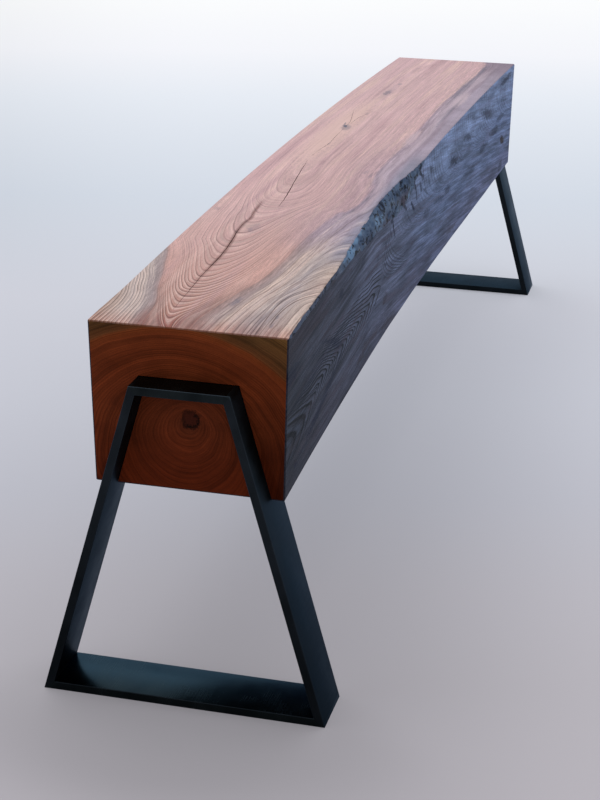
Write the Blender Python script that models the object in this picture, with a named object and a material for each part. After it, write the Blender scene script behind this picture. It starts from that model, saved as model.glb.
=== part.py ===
# A long bench: one squared timber beam let onto two welded flat bar leg frames.
# Metres, +Z up. X runs along the beam, the front faces -Y, and the origin lies
# on the floor below the middle of the beam.

import math

import bmesh
import bpy
from mathutils import Vector

# Timber beam
beam_length = 1.715
beam_top_width = 0.227
beam_bottom_width = 0.222
beam_height = 0.193
seat_height = 0.450
beam_crook = 0.013
beam_camber = 0.005
beam_edge_ease = 0.0015
beam_station_count = 42

# Wane: the bark edge left on the front top corner
wane_place = -0.275
wane_left_reach = 0.330
wane_right_reach = 0.290
wane_inset = 0.015
wane_drop = 0.034
wane_bulge = 0.003

# Drying cracks in the top. Their routes are shares of the beam's half length
# and half width, counted from the middle of the top.
crack_width = 0.0026
crack_depth = 0.022
long_crack_shares = [(-0.90, 0.310), (-0.73, 0.335), (-0.64, 0.355), (-0.585, 0.385),
                     (-0.547, 0.420), (-0.50, 0.430), (-0.45, 0.440), (-0.376, 0.476)]
short_crack_shares = [(-0.397, 0.225), (-0.325, 0.267), (-0.232, 0.347),
                      (-0.153, 0.406), (-0.085, 0.459)]

# Leg frames: four straight, mitred lengths of flat bar each. The cover is the
# timber left above the top bar.
bar_width = 0.075
bar_thickness = 0.010
bar_edge_ease = 0.0006
frame_cover = 0.060
frame_foot_width = 0.340
frame_top_width = 0.116
frame_stand_off = 0.035

# Corner welds, ground flush with the bars
weld_leg = 0.0045
weld_throat = 0.0040

# Lag screws, driven up through the top bars from the underside of the beam.
# The bite is what stands above the top bar.
lag_end_distance = 0.020
lag_spacing = 0.052
lag_bite = 0.0298
lag_shank_diameter = 0.0080
lag_root_diameter = 0.0058
lag_thread_length = 0.050
lag_pitch = 0.0045
lag_tip_length = 0.006
lag_head_flats = 0.013
lag_head_height = 0.0055
lag_head_chamfer = 0.0008
washer_diameter = 0.020
washer_thickness = 0.0016
counterbore_depth = 0.040

# Clearances
fit_gap = 0.0003
groove_clearance = 0.0005
lag_hole_clearance = 0.0004
counterbore_clearance = 0.0010
overrun = 0.010

screw_sides = 12
hole_sides = 24
bevel_rounds = 2
round_profile_share = 0.5
right_angle = math.radians(90)

# Worked out from the sizes above
beam_bottom = seat_height - beam_height
half_length = beam_length / 2
frame_height = seat_height - frame_cover
leg_lean = (frame_foot_width - frame_top_width) / 2 / frame_height
groove_depth = bar_width - frame_stand_off + fit_gap
frame_place = half_length + frame_stand_off - bar_width / 2
lag_seat = beam_bottom + counterbore_depth
lag_head_top = lag_seat - fit_gap - washer_thickness - fit_gap
lag_length = frame_height + lag_bite - lag_head_top


def clearScene():
    for old in list(bpy.data.objects):
        bpy.data.objects.remove(old, do_unlink=True)


def makeMaterial(name, colour, roughness, metallic):
    material = bpy.data.materials.new(name)
    material.use_nodes = True
    shader = material.node_tree.nodes["Principled BSDF"]
    shader.inputs["Base Color"].default_value = (*colour, 1.0)
    shader.inputs["Roughness"].default_value = roughness
    shader.inputs["Metallic"].default_value = metallic
    material.diffuse_color = (*colour, 1.0)
    return material


def addObject(name, mesh, material=None, place=(0, 0, 0), parent=None):
    piece = bpy.data.objects.new(name, mesh)
    bpy.context.collection.objects.link(piece)
    piece.location = place
    piece.parent = parent
    if material and not mesh.materials:
        mesh.materials.append(material)
    return piece


def finishMesh(name, bm, smooth_angle=None):
    bmesh.ops.recalc_face_normals(bm, faces=bm.faces)
    mesh = bpy.data.meshes.new(name)
    bm.to_mesh(mesh)
    bm.free()
    if smooth_angle:
        mesh.shade_smooth()
        mesh.set_sharp_from_angle(angle=smooth_angle)
    return mesh


# A closed skin through rings of points, with its two ends capped
def loft(rings):
    bm = bmesh.new()
    edge_rings = []
    for ring in rings:
        verts = [bm.verts.new(point) for point in ring]
        edges = [bm.edges.new((verts[i - 1], verts[i])) for i in range(len(verts))]
        edge_rings.append(edges)
    for lower, upper in zip(edge_rings, edge_rings[1:]):
        bmesh.ops.bridge_loops(bm, edges=lower + upper)
    bmesh.ops.holes_fill(bm, edges=edge_rings[0] + edge_rings[-1], sides=0)
    return bm


# A ring about the Z axis. With its own corner radius it is a hexagon.
def turnedRing(radius, height, sides, corner_radius=None):
    points = []
    for i in range(sides):
        angle = math.tau * i / sides
        reach = corner_radius if corner_radius and i % 2 == 0 else radius
        points.append((reach * math.cos(angle), reach * math.sin(angle), height))
    return points


def makeCutter(name, mesh, place=(0, 0, 0), parent=None):
    cutter = addObject(name, mesh, place=place, parent=parent)
    cutter.hide_render = True
    cutter.display_type = "WIRE"
    return cutter


def cutBy(piece, cutters):
    for cutter in cutters:
        cut = piece.modifiers.new(cutter.name, "BOOLEAN")
        cut.operation = "DIFFERENCE"
        cut.solver = "EXACT"
        cut.object = cutter


# Timber beam, in coordinates counted from the underside of its ends


def beamBow(x):
    return 1 - (x / half_length) ** 2


# From 0 outside the wane to 1 at its middle, with soft ends
def waneShare(x):
    reach = wane_left_reach if x < wane_place else wane_right_reach
    away = min(abs(x - wane_place) / reach, 1.0)
    return (1 - away ** 2) ** 2


# One cross-section at x, as points around the beam, drawn in by shrink
def beamSection(x, shrink):
    sway = beam_crook * beamBow(x)
    rise = beam_camber * beamBow(x)
    wane = waneShare(x)
    ease = beam_edge_ease
    top = beam_height - shrink
    low = shrink
    half_top = beam_top_width / 2 - shrink
    half_low = beam_bottom_width / 2 - shrink
    inset = max(wane_inset * wane, ease)
    drop = max(wane_drop * wane, ease)
    bulge = wane_bulge * wane
    outline = [
        (half_low - ease, low),
        (half_low, low + ease),
        (half_top, top - ease),
        (half_top - ease, top),
        (inset - half_top, top),
        (inset / 2 - half_top - bulge, top - drop / 2 + bulge),
        (-half_top, top - drop),
        (-half_low, low + ease),
        (ease - half_low, low),
    ]
    return [(x, y + sway, z + rise) for y, z in outline]


def beamMesh():
    inner_length = half_length - beam_edge_ease
    rings = [beamSection(-half_length, beam_edge_ease)]
    for i in range(beam_station_count + 1):
        x = inner_length * (2 * i / beam_station_count - 1)
        rings.append(beamSection(x, 0))
    rings.append(beamSection(half_length, beam_edge_ease))
    return finishMesh("timber_beam", loft(rings))


# A V-shaped crack along its route. It closes to a hairline at both ends.
def crackCutter(name, route_shares):
    points = [Vector((along * half_length, across * beam_top_width / 2)) for along, across in route_shares]
    rings = []
    for i, point in enumerate(points):
        before = points[max(i - 1, 0)]
        after = points[min(i + 1, len(points) - 1)]
        run = (after - before).normalized()
        side = Vector((-run.y, run.x))
        fullness = 1 - abs(2 * i / (len(points) - 1) - 1) ** 3
        half_gap = (crack_width * fullness + fit_gap) / 2
        depth = crack_depth * (1 + fullness) / 2
        middle = point + Vector((0, beam_crook * beamBow(point.x)))
        surface = beam_height + beam_camber * beamBow(point.x)
        left = middle + side * half_gap
        right = middle - side * half_gap
        rings.append([(left.x, left.y, surface + overrun), (left.x, left.y, surface),
                      (middle.x, middle.y, surface - depth),
                      (right.x, right.y, surface), (right.x, right.y, surface + overrun)])
    return finishMesh(name, loft(rings))


# Leg frame outline, as points (y, z) from the front foot round to the back


def frameHalfWidth(z):
    return frame_foot_width / 2 - leg_lean * z


# Moves each edge of a closed outline inwards by its own amount. Edge i runs
# from point i to the next, and the points go round clockwise.
def insetOutline(points, amounts):
    moved = []
    for i in range(len(points)):
        start = points[i]
        run = (points[(i + 1) % len(points)] - start).normalized()
        inward = Vector((run.y, -run.x))
        moved.append((start + inward * amounts[i], run))
    corners = []
    for i in range(len(points)):
        before, before_run = moved[i - 1]
        after, after_run = moved[i]
        turn = before_run.x * after_run.y - before_run.y * after_run.x
        step = after - before
        along = (step.x * after_run.y - step.y * after_run.x) / turn
        corners.append(before + before_run * along)
    return corners


def frameOuter():
    foot = frameHalfWidth(0)
    top = frameHalfWidth(frame_height)
    return [Vector((-foot, 0)), Vector((-top, frame_height)), Vector((top, frame_height)), Vector((foot, 0))]


# An outline extruded along X, centred on x = 0. The listed edges of the
# outline are outside faces, whose long corners are eased.
def extrudeOutline(name, points, length, eased_edges=()):
    bm = bmesh.new()
    near = [bm.verts.new((-length / 2, point.x, point.y)) for point in points]
    face = bm.faces.new(near)
    grown = bmesh.ops.extrude_face_region(bm, geom=[face])
    far = [item for item in grown["geom"] if isinstance(item, bmesh.types.BMVert)]
    bmesh.ops.translate(bm, verts=far, vec=(length, 0, 0))
    bmesh.ops.recalc_face_normals(bm, faces=bm.faces)
    eased = []
    for edge in bm.edges:
        first, second = [Vector(vert.co.yz) for vert in edge.verts]
        for i in eased_edges:
            ends = (points[i], points[(i + 1) % len(points)])
            reach = min((first - ends[0]).length + (second - ends[1]).length,
                        (first - ends[1]).length + (second - ends[0]).length)
            if reach < fit_gap / 10:
                eased.append(edge)
    if eased:
        bmesh.ops.bevel(bm, geom=eased, offset=bar_edge_ease, segments=bevel_rounds,
                        profile=round_profile_share, affect="EDGES", clamp_overlap=True, material=-1)
    return finishMesh(name, bm)


# The bar between outer corner i and the next, mitred at both ends and cut
# back at its outer corners for the welds
def barMesh(name, i):
    outer = frameOuter()
    inner = insetOutline(outer, [bar_thickness] * len(outer))
    j = (i + 1) % len(outer)
    run = (outer[j] - outer[i]).normalized()
    start_mitre = (inner[i] - outer[i]).normalized()
    end_mitre = (inner[j] - outer[j]).normalized()
    points = [
        outer[i] + start_mitre * weld_throat,
        outer[i] + run * weld_leg,
        outer[j] - run * weld_leg,
        outer[j] + end_mitre * weld_throat,
        inner[j],
        inner[i],
    ]
    half_gap = fit_gap / 2
    shape = insetOutline(points, [half_gap, 0, half_gap, half_gap, 0, half_gap])
    return extrudeOutline(name, shape, bar_width, eased_edges=(1, 4))


# The weld that fills outer corner i, with its root on the mitre
def weldMesh(name, i):
    outer = frameOuter()
    inner = insetOutline(outer, [bar_thickness] * len(outer))
    before_run = (outer[i] - outer[i - 1]).normalized()
    after_run = (outer[(i + 1) % len(outer)] - outer[i]).normalized()
    mitre = (inner[i] - outer[i]).normalized()
    points = [
        outer[i] - before_run * weld_leg,
        outer[i],
        outer[i] + after_run * weld_leg,
        outer[i] + mitre * weld_throat,
    ]
    half_gap = fit_gap / 2
    shape = insetOutline(points, [0, 0, half_gap, half_gap])
    return extrudeOutline(name, shape, bar_width, eased_edges=(0, 1))


# The groove that takes the buried half of a leg frame, open at the beam's end
# and underside
def grooveCutter():
    outer = insetOutline(frameOuter(), [-groove_clearance] * 4)
    inner = insetOutline(frameOuter(), [bar_thickness + groove_clearance] * 4)
    mouth = beam_bottom - overrun
    sides = []
    for foot, top in ((outer[0], outer[1]), (inner[0], inner[1])):
        share = (mouth - foot.y) / (top.y - foot.y)
        sides.append(foot.lerp(top, share))
    outer_mouth, inner_mouth = sides
    points = [outer_mouth, outer[1], outer[2], Vector((-outer_mouth.x, mouth)),
              Vector((-inner_mouth.x, mouth)), inner[2], inner[1], inner_mouth]
    return extrudeOutline("groove_cutter", points, groove_depth + overrun)


# Fasteners, upright, in heights above the floor


def lagScrewMesh():
    hexagon = lag_head_flats / 2 / math.cos(math.pi / 6)
    flats = lag_head_flats / 2
    trimmed = flats - lag_head_chamfer
    low = lag_head_top - lag_head_height
    shank = lag_shank_diameter / 2
    root = lag_root_diameter / 2
    rings = [
        turnedRing(trimmed, low, screw_sides),
        turnedRing(flats, low + lag_head_chamfer, screw_sides, hexagon),
        turnedRing(flats, lag_head_top, screw_sides, hexagon),
        turnedRing(shank, lag_head_top, screw_sides),
    ]
    thread_start = lag_head_top + lag_length - lag_thread_length
    rings.append(turnedRing(shank, thread_start, screw_sides))
    for i in range(int((lag_thread_length - lag_tip_length) / lag_pitch)):
        foot = thread_start + lag_pitch * i
        rings.append(turnedRing(root, foot + lag_pitch / 3, screw_sides))
        rings.append(turnedRing(root, foot + lag_pitch * 2 / 3, screw_sides))
        rings.append(turnedRing(shank, foot + lag_pitch, screw_sides))
    rings.append(turnedRing(root / 4, lag_head_top + lag_length, screw_sides))
    return finishMesh("lag_screw", loft(rings), smooth_angle=right_angle / 3)


def washerMesh():
    outside = washer_diameter / 2
    inside = lag_shank_diameter / 2 + lag_hole_clearance
    low = lag_seat - fit_gap - washer_thickness
    high = lag_seat - fit_gap
    bm = bmesh.new()
    section = [(inside, low), (outside, low), (outside, high), (inside, high)]
    verts = [bm.verts.new((radius, 0, height)) for radius, height in section]
    edges = [bm.edges.new((verts[i - 1], verts[i])) for i in range(len(verts))]
    bmesh.ops.spin(bm, geom=verts + edges, cent=(0, 0, 0), axis=(0, 0, 1), angle=math.tau,
                   steps=hole_sides, use_merge=True)
    return finishMesh("washer", bm, smooth_angle=right_angle / 2)


# The counterbore and the hole above it, for the beam and for the top bar
def lagHoleCutter():
    wide = washer_diameter / 2 + counterbore_clearance
    narrow = lag_shank_diameter / 2 + lag_hole_clearance
    tip = lag_head_top + lag_length + lag_tip_length
    rings = [turnedRing(wide, beam_bottom - overrun, hole_sides), turnedRing(wide, lag_seat, hole_sides),
             turnedRing(narrow, lag_seat, hole_sides), turnedRing(narrow, tip, hole_sides)]
    return finishMesh("lag_hole_cutter", loft(rings))


def build():
    clearScene()
    timber = makeMaterial("timber", (0.46, 0.25, 0.20), 0.45, 0.0)
    steel = makeMaterial("blackened_steel", (0.012, 0.016, 0.019), 0.38, 0.6)
    weld = makeMaterial("ground_weld", (0.014, 0.018, 0.021), 0.42, 0.6)
    zinc = makeMaterial("zinc_steel", (0.55, 0.56, 0.58), 0.35, 1.0)

    bar_meshes = {"front_leg": barMesh("front_leg", 0), "top_bar": barMesh("top_bar", 1),
                  "back_leg": barMesh("back_leg", 2), "foot_bar": barMesh("foot_bar", 3)}
    weld_meshes = {"front_foot_weld": weldMesh("front_foot_weld", 0),
                   "front_top_weld": weldMesh("front_top_weld", 1),
                   "back_top_weld": weldMesh("back_top_weld", 2),
                   "back_foot_weld": weldMesh("back_foot_weld", 3)}
    groove = grooveCutter()
    lag_hole = lagHoleCutter()
    lag_screw = lagScrewMesh()
    washer = washerMesh()
    for mesh in (lag_screw, washer):
        mesh.materials.append(zinc)

    beam = addObject("timber_beam", beamMesh(), timber, place=(0, 0, beam_bottom))
    cutters = []
    for name, route_shares in (("long_crack", long_crack_shares), ("short_crack", short_crack_shares)):
        cutters.append(makeCutter(name + "_cutter", crackCutter(name, route_shares), parent=beam))

    for end, side in (("left", -1), ("right", 1)):
        frame = bpy.data.objects.new(end + "_frame", None)
        bpy.context.collection.objects.link(frame)
        frame.location = (side * frame_place, 0, 0)
        bars = {}
        for name, mesh in bar_meshes.items():
            bars[name] = addObject(f"{end}_{name}", mesh, steel, parent=frame)
        for name, mesh in weld_meshes.items():
            addObject(f"{end}_{name}", mesh, weld, parent=frame)

        groove_place = side * (half_length - (groove_depth - overrun) / 2)
        cutters.append(makeCutter(end + "_groove_cutter", groove, place=(groove_place, 0, 0)))

        lag_place = side * (half_length - lag_end_distance - frame_place)
        holes = []
        for where, across in (("front", -1), ("back", 1)):
            place = (lag_place, across * lag_spacing / 2, 0)
            holes.append(makeCutter(f"{end}_{where}_hole_cutter", lag_hole, place=place, parent=frame))
            addObject(f"{end}_{where}_lag_screw", lag_screw, place=place, parent=frame)
            addObject(f"{end}_{where}_washer", washer, place=place, parent=frame)
        cutBy(bars["top_bar"], holes)
        cutters += holes

    cutBy(beam, cutters)
    bpy.context.view_layer.update()


build()
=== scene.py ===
# A long bench: one squared timber with a strip of bark edge, let onto two
# welded flat bar frames. Metres, +Z up. X runs along the beam from its near
# end (-X) to its far end, and the bark edge is at the front, towards -Y.

import math

import bmesh
import bpy
from mathutils import Matrix, Vector, noise


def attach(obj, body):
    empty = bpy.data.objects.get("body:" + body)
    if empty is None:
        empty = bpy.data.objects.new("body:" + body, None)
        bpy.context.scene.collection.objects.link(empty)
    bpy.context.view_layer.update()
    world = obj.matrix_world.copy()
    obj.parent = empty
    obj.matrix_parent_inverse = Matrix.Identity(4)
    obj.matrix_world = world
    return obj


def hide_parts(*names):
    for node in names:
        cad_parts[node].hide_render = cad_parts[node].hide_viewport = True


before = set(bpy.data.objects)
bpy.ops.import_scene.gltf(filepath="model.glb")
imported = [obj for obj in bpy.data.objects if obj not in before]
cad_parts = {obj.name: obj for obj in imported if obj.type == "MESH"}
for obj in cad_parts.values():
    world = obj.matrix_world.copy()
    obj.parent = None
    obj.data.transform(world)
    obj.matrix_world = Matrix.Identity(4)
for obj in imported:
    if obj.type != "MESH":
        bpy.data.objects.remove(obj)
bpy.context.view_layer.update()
print("frame loaded:", len(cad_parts), "nodes")


# Small helpers


def tint(red, green, blue):  # 0-255 screen colour to a shader colour
    linear = []
    for value in (red, green, blue):
        value /= 255
        linear.append(value / 12.92 if value < 0.04045 else ((value + 0.055) / 1.055) ** 2.4)
    return (*linear, 1.0)


def smoothAlong(points, x):  # a soft line through points (x, value)
    if x <= points[0][0]:
        return points[0][1]
    for (x0, v0), (x1, v1) in zip(points, points[1:]):
        if x <= x1:
            share = (x - x0) / (x1 - x0)
            return v0 + (v1 - v0) * share * share * (3 - 2 * share)
    return points[-1][1]


def wander(x, size, seed):  # slow random drift between -1 and 1
    return noise.noise(Vector((x / size, seed, 0.5)))


# Shader helpers. A Field is a shader value that plain sums can be written with.


class Field:
    def __init__(self, socket):
        self.socket = socket

    def __add__(self, other):
        return calc("ADD", self, other)

    def __sub__(self, other):
        return calc("SUBTRACT", self, other)

    def __rsub__(self, other):
        return calc("SUBTRACT", other, self)

    def __mul__(self, other):
        return calc("MULTIPLY", self, other)

    def __truediv__(self, other):
        return calc("DIVIDE", self, other)

    def __rtruediv__(self, other):
        return calc("DIVIDE", other, self)

    def __pow__(self, other):
        return calc("POWER", self, other)

    def __abs__(self):
        return calc("ABSOLUTE", self)


def plug(node, feeds):
    for key, value in feeds.items():
        if isinstance(value, Field):
            node.id_data.links.new(value.socket, node.inputs[key])
        else:
            node.inputs[key].default_value = value


def treeOf(feeds):
    return next(value.socket.id_data for value in feeds.values() if isinstance(value, Field))


def makeNode(kind, feeds, **settings):
    made = treeOf(feeds).nodes.new("ShaderNode" + kind)
    for name, value in settings.items():
        setattr(made, name, value)
    plug(made, feeds)
    return made


def addNode(kind, feeds, **settings):  # gives the node's first output
    return Field(makeNode(kind, feeds, **settings).outputs[0])


def calc(operation, *values, clamp=False):
    return addNode("Math", dict(enumerate(values)), operation=operation, use_clamp=clamp)


def vectorCalc(operation, *values):
    return addNode("VectorMath", dict(enumerate(values)), operation=operation)


def larger(first, second):
    return calc("MAXIMUM", first, second)


def smaller(first, second):
    return calc("MINIMUM", first, second)


def mixed(share, first, second):  # between two numbers
    return addNode("Mix", {0: share, 2: first, 3: second})


def splitPlace(place):
    return [Field(socket) for socket in makeNode("SeparateXYZ", {0: place}).outputs]


def blend(share, first, second, how="MIX"):  # colours are fields, or (red, green, blue) of 0-255
    first, second = [tint(*colour) if isinstance(colour, tuple) else colour for colour in (first, second)]
    feeds = {0: share, 6: first, 7: second}
    return Field(makeNode("Mix", feeds, data_type="RGBA", blend_type=how).outputs[2])


def rise(value, start, end, low=0.0, high=1.0):  # soft step
    feeds = {0: value, 1: start, 2: end, 3: low, 4: high}
    return addNode("MapRange", feeds, interpolation_type="SMOOTHSTEP")


def fall(value, start, end):
    return rise(value, start, end, 1.0, 0.0)


def between(value, start, full, wane, end):  # rises from start to full, falls from wane to end
    return rise(value, start, full) * fall(value, wane, end)


def product(*steps):  # soft steps times each other, each with the values that rise takes
    total = rise(*steps[0])
    for step in steps[1:]:
        total *= rise(*step)
    return total


def ramp(value, stops, how="LINEAR"):  # stops are (place, colour or grey)
    made = makeNode("ValToRGB", {0: value})
    made.color_ramp.interpolation = how
    elements = made.color_ramp.elements
    while len(elements) < len(stops):
        elements.new(0.5)
    for element, (place, colour) in zip(elements, stops):
        element.position = place
        element.color = tint(*colour) if isinstance(colour, tuple) else (colour, colour, colour, 1.0)
    return Field(made.outputs[0])


def scaleColour(colour, shade):
    return addNode("VectorMath", {0: colour, 3: shade}, operation="SCALE")


def colourAlong(value, stops, how="EASE"):  # a ramp in the value's own units
    low = stops[0][0]
    span = stops[-1][0] - low
    share = calc("DIVIDE", value - low, span, clamp=True)
    return ramp(share, [((place - low) / span, colour) for place, colour in stops], how)


def curveAlong(value, points):  # a curve in the value's own units
    lowX, highX = points[0][0], points[-1][0]
    lowY = min(y for x, y in points)
    spanY = max(y for x, y in points) - lowY
    share = calc("DIVIDE", value - lowX, highX - lowX, clamp=True)
    made = makeNode("FloatCurve", {"Value": share})
    curve = made.mapping.curves[0]
    while len(curve.points) < len(points):
        curve.points.new(0.5, 0.5)
    for point, (x, y) in zip(curve.points, points):
        point.location = ((x - lowX) / (highX - lowX), (y - lowY) / spanY)
        point.handle_type = "AUTO_CLAMPED"
    made.mapping.update()
    return calc("MULTIPLY_ADD", Field(made.outputs[0]), spanY, lowY)


def grainNoise(place, sizes, detail=3.0, roughness=0.55, twist=0.0):  # sizes in metres along x, y, z
    scaled = vectorCalc("DIVIDE", place, sizes)
    feeds = {"Vector": scaled, "Scale": 1.0, "Detail": detail, "Roughness": roughness, "Distortion": twist}
    return addNode("TexNoise", feeds)


def drifted(value, place, figure):  # the value with a soft wander of its own
    return (grainNoise(place, figure["driftSize"], detail=2.0) - 0.5) * figure["drift"] + value


def raggedEdge(place, figure):  # what makes the outline of a spot uneven
    return (grainNoise(place, figure["raggedSize"]) - 0.5) * figure["raggedness"]


def openGroup(name, **inputs):  # each input with its default, or None for a place
    tree = bpy.data.node_groups.new(name, "ShaderNodeTree")
    for label, value in inputs.items():
        kind = "NodeSocketVector" if value is None else "NodeSocketFloat"
        socket = tree.interface.new_socket(label, in_out="INPUT", socket_type=kind)
        if value is not None:
            socket.default_value = value
    source = tree.nodes.new("NodeGroupInput").outputs
    return tree, [Field(source[label]) for label in inputs]


def closeGroup(tree, **results):
    for label, value in results.items():
        kind = "NodeSocketVector" if value.socket.type == "VECTOR" else "NodeSocketFloat"
        tree.interface.new_socket(label, in_out="OUTPUT", socket_type=kind)
    plug(tree.nodes.new("NodeGroupOutput"), results)
    return tree


def useGroup(group, **feeds):
    made = treeOf(feeds).nodes.new("ShaderNodeGroup")
    made.node_tree = group
    plug(made, feeds)
    return {socket.name: Field(socket) for socket in made.outputs}


def newMaterial(name):  # with its object coordinates and its shader
    material = bpy.data.materials.new(name)
    material.use_nodes = True
    tree = material.node_tree
    place = Field(tree.nodes.new("ShaderNodeTexCoord").outputs["Object"])
    return material, place, tree.nodes["Principled BSDF"]


def setShader(shader, **feeds):
    plug(shader, {label.replace("_", " "): value for label, value in feeds.items()})


def bumpFrom(height, distance, strength=1.0):
    return addNode("Bump", {"Height": height, "Distance": distance, "Strength": strength})


# The beam. Its front top corner is bark edge where waneIn and waneDown open up:
# how far it comes in on the top and down on the front, along x.

beam = dict(
    halfLength=0.8575,
    topWidth=0.227,
    lowWidth=0.222,
    height=0.193,
    underside=0.257,
    crook=0.013,  # towards +Y at mid-length
    camber=0.005,
    arris=0.0016,
    arrisSteps=(0.35, 0.7),  # where its curve at the ends has edges
    waneIn=[(-0.8575, 0.0016), (-0.84, 0.0024), (-0.78, 0.003), (-0.7, 0.0026), (-0.62, 0.0022),
            (-0.556, 0.003), (-0.498, 0.0072), (-0.45, 0.0093), (-0.38, 0.0118), (-0.312, 0.0148),
            (-0.249, 0.0149), (-0.196, 0.014), (-0.151, 0.011), (-0.112, 0.0069), (-0.076, 0.0048),
            (-0.024, 0.0016)],
    waneDown=[(-0.8575, 0.0022), (-0.84, 0.005), (-0.78, 0.0066), (-0.7, 0.0058), (-0.615, 0.0052),
              (-0.565, 0.0105), (-0.488, 0.0135), (-0.442, 0.02), (-0.396, 0.0215), (-0.37, 0.0205),
              (-0.314, 0.025), (-0.271, 0.0285), (-0.211, 0.0345), (-0.166, 0.0345), (-0.11, 0.029),
              (-0.055, 0.014), (0, 0.003), (0.03, 0.0016)],
    # rise and fall of the underside
    lowWave=[(-0.8575, 0.0015), (-0.5, 0.0012), (-0.25, 0.0015), (-0.1, -0.0004), (0.1, -0.0028),
             (0.25, -0.0046), (0.4, -0.006), (0.58, -0.0058), (0.7, -0.0036), (0.8575, -0.0008)],
    backFlare=[(-0.8575, 0.0026), (-0.72, 0)],  # the back top edge stands out at the near end
    waneRaggedness=0.0011,
    raggedFrom=0.0055,  # where the wane is shallower than this it is less ragged
    leastWane=0.0009,
    curveIn=0.15,  # how the wane bows between the top and the front
    curveDown=0.3,
    barkFrom=0.0032,  # bark shows where the wane is deeper than this, and lower than barkBelow
    barkBelow=0.001,
    waneRelief=0.0016,
    fullRelief=(0.006, 0.012),  # a wane this far in and down has all of it
    reliefIn=0.6,
    reliefDown=0.8,
    barkRun=0.03,  # length of bark from the top to the front
    barkSlant=0.3,
    barkLumps=[(0.02, 0.012, 2), (0.013, 0.009, 8), (0.06, 0.02, 14)],  # flakes, pits, lumps: size and seed
    fineStep=0.0025,
    coarseStep=0.012,
    cornerRows=10,  # rows of faces on each side of the corner
    cornerRow=0.001,
    topRows=[0.014, 0.02, 0.028, 0.04],
    frontRows=[0.016, 0.026, 0.04, 0.056],
    sharpAngle=28,
)


def beamBow(x):
    return 1 - (x / beam["halfLength"]) ** 2


def waneAt(x):
    ragged = beam["waneRaggedness"]
    inset = smoothAlong(beam["waneIn"], x)
    drop = smoothAlong(beam["waneDown"], x)
    share = min(drop / beam["raggedFrom"], 1)
    inset += ragged * share * (wander(x, 0.030, 1.5) + 0.9 * wander(x, 0.009, 4.5))
    drop += 1.6 * ragged * share * (wander(x, 0.022, 7.5) + 0.9 * wander(x, 0.008, 9.5))
    return max(inset, beam["leastWane"]), max(drop, beam["leastWane"])


# How far in and down the wane's curve is, for a turn of 0 on the top to 1 on the front
def waneCurve(turn, inset, drop):
    bow = 2 * turn * (1 - turn)
    return ((1 - turn) ** 2 * inset + bow * inset * beam["curveIn"],
            bow * drop * beam["curveDown"] + turn ** 2 * drop)


# Where a point of the plain box goes: wane, taper, eased ends, crook and camber
def shapeBeam(place):
    x, y, z = place
    halfTop = beam["topWidth"] / 2
    fromFront = y + halfTop
    fromTop = beam["height"] - z
    corner = beam["cornerRows"] * beam["cornerRow"]
    inset, drop = waneAt(x)
    onTop = fromTop < 1e-6
    onFront = fromFront < 1e-6
    if onTop and fromFront < beam["topRows"][-1] or onFront and fromTop < beam["frontRows"][-1]:
        away = fromFront if onTop else fromTop
        if away <= corner + 1e-6:
            turn = 0.5 - away / corner / 2 if onTop else 0.5 + away / corner / 2
            fromFront, fromTop = waneCurve(turn, inset, drop)
            fullIn, fullDown = beam["fullRelief"]
            rough = min(inset / fullIn, drop / fullDown, 1) * math.sqrt(max(math.sin(math.pi * turn), 0))
            lump = barkRelief(x, turn * beam["barkRun"]) * beam["waneRelief"] * rough
            fromFront += lump * beam["reliefIn"]
            fromTop += lump * beam["reliefDown"]
        elif onTop:
            reach = beam["topRows"][-1]
            fromFront = inset + (away - corner) / (reach - corner) * (reach - inset)
        else:
            reach = beam["frontRows"][-1]
            fromTop = drop + (away - corner) / (reach - corner) * (reach - drop)
    y = fromFront - halfTop
    z = beam["height"] - fromTop
    low = min(fromTop / beam["height"], 1)
    y *= 1 - (1 - beam["lowWidth"] / beam["topWidth"]) * low
    y += smoothAlong(beam["backFlare"], x) * max(y / halfTop, 0) ** 4 * (1 - low)
    z += smoothAlong(beam["lowWave"], x) * low ** 3
    past = max(abs(x) - beam["halfLength"] + beam["arris"], 0) / beam["arris"]
    shrink = beam["arris"] * (1 - math.sqrt(max(1 - past * past, 0)))
    y *= 1 - shrink / halfTop
    z = (z - beam["height"] / 2) * (1 - shrink / (beam["height"] / 2)) + beam["height"] / 2
    return Vector((x, y + beam["crook"] * beamBow(x), beam["underside"] + z + beam["camber"] * beamBow(x)))


# Flakes and pits of the bark edge, running slantwise down the corner
def barkRelief(x, across):
    slant = x + across * beam["barkSlant"]
    flakes, pits, lumps = [noise.noise(Vector((slant / long, across / wide, seed)))
                           for long, wide, seed in beam["barkLumps"]]
    return 0.7 * flakes + 0.9 * max(pits, 0) ** 1.5 * 2 + 0.9 * lumps


def isFront(face):
    return face.normal.y < -0.9


def isTop(face):
    return face.normal.z > 0.9


def cutAcross(bm, faces, axis, places):  # adds an edge line at each place along an axis
    for place in places:
        point = [0, 0, 0]
        point[axis] = place
        normal = [0, 0, 0]
        normal[axis] = 1
        parts = [face for face in bm.faces if faces is None or faces(face)]
        edges = {edge for face in parts for edge in face.edges}
        verts = {vert for face in parts for vert in face.verts}
        bmesh.ops.bisect_plane(bm, geom=[*parts, *edges, *verts], dist=1e-7, plane_co=point, plane_no=normal)


def stations():
    x = -beam["halfLength"] + beam["arris"]
    last = -x
    places = []
    while x < last - 1e-6:
        places.append(x)
        fine = x < beam["waneDown"][-1][0]
        x += beam["fineStep"] if fine else beam["coarseStep"]
    places.append(last)
    for share in beam["arrisSteps"]:
        places += [last + beam["arris"] * share, -last - beam["arris"] * share]
    return places


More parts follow.
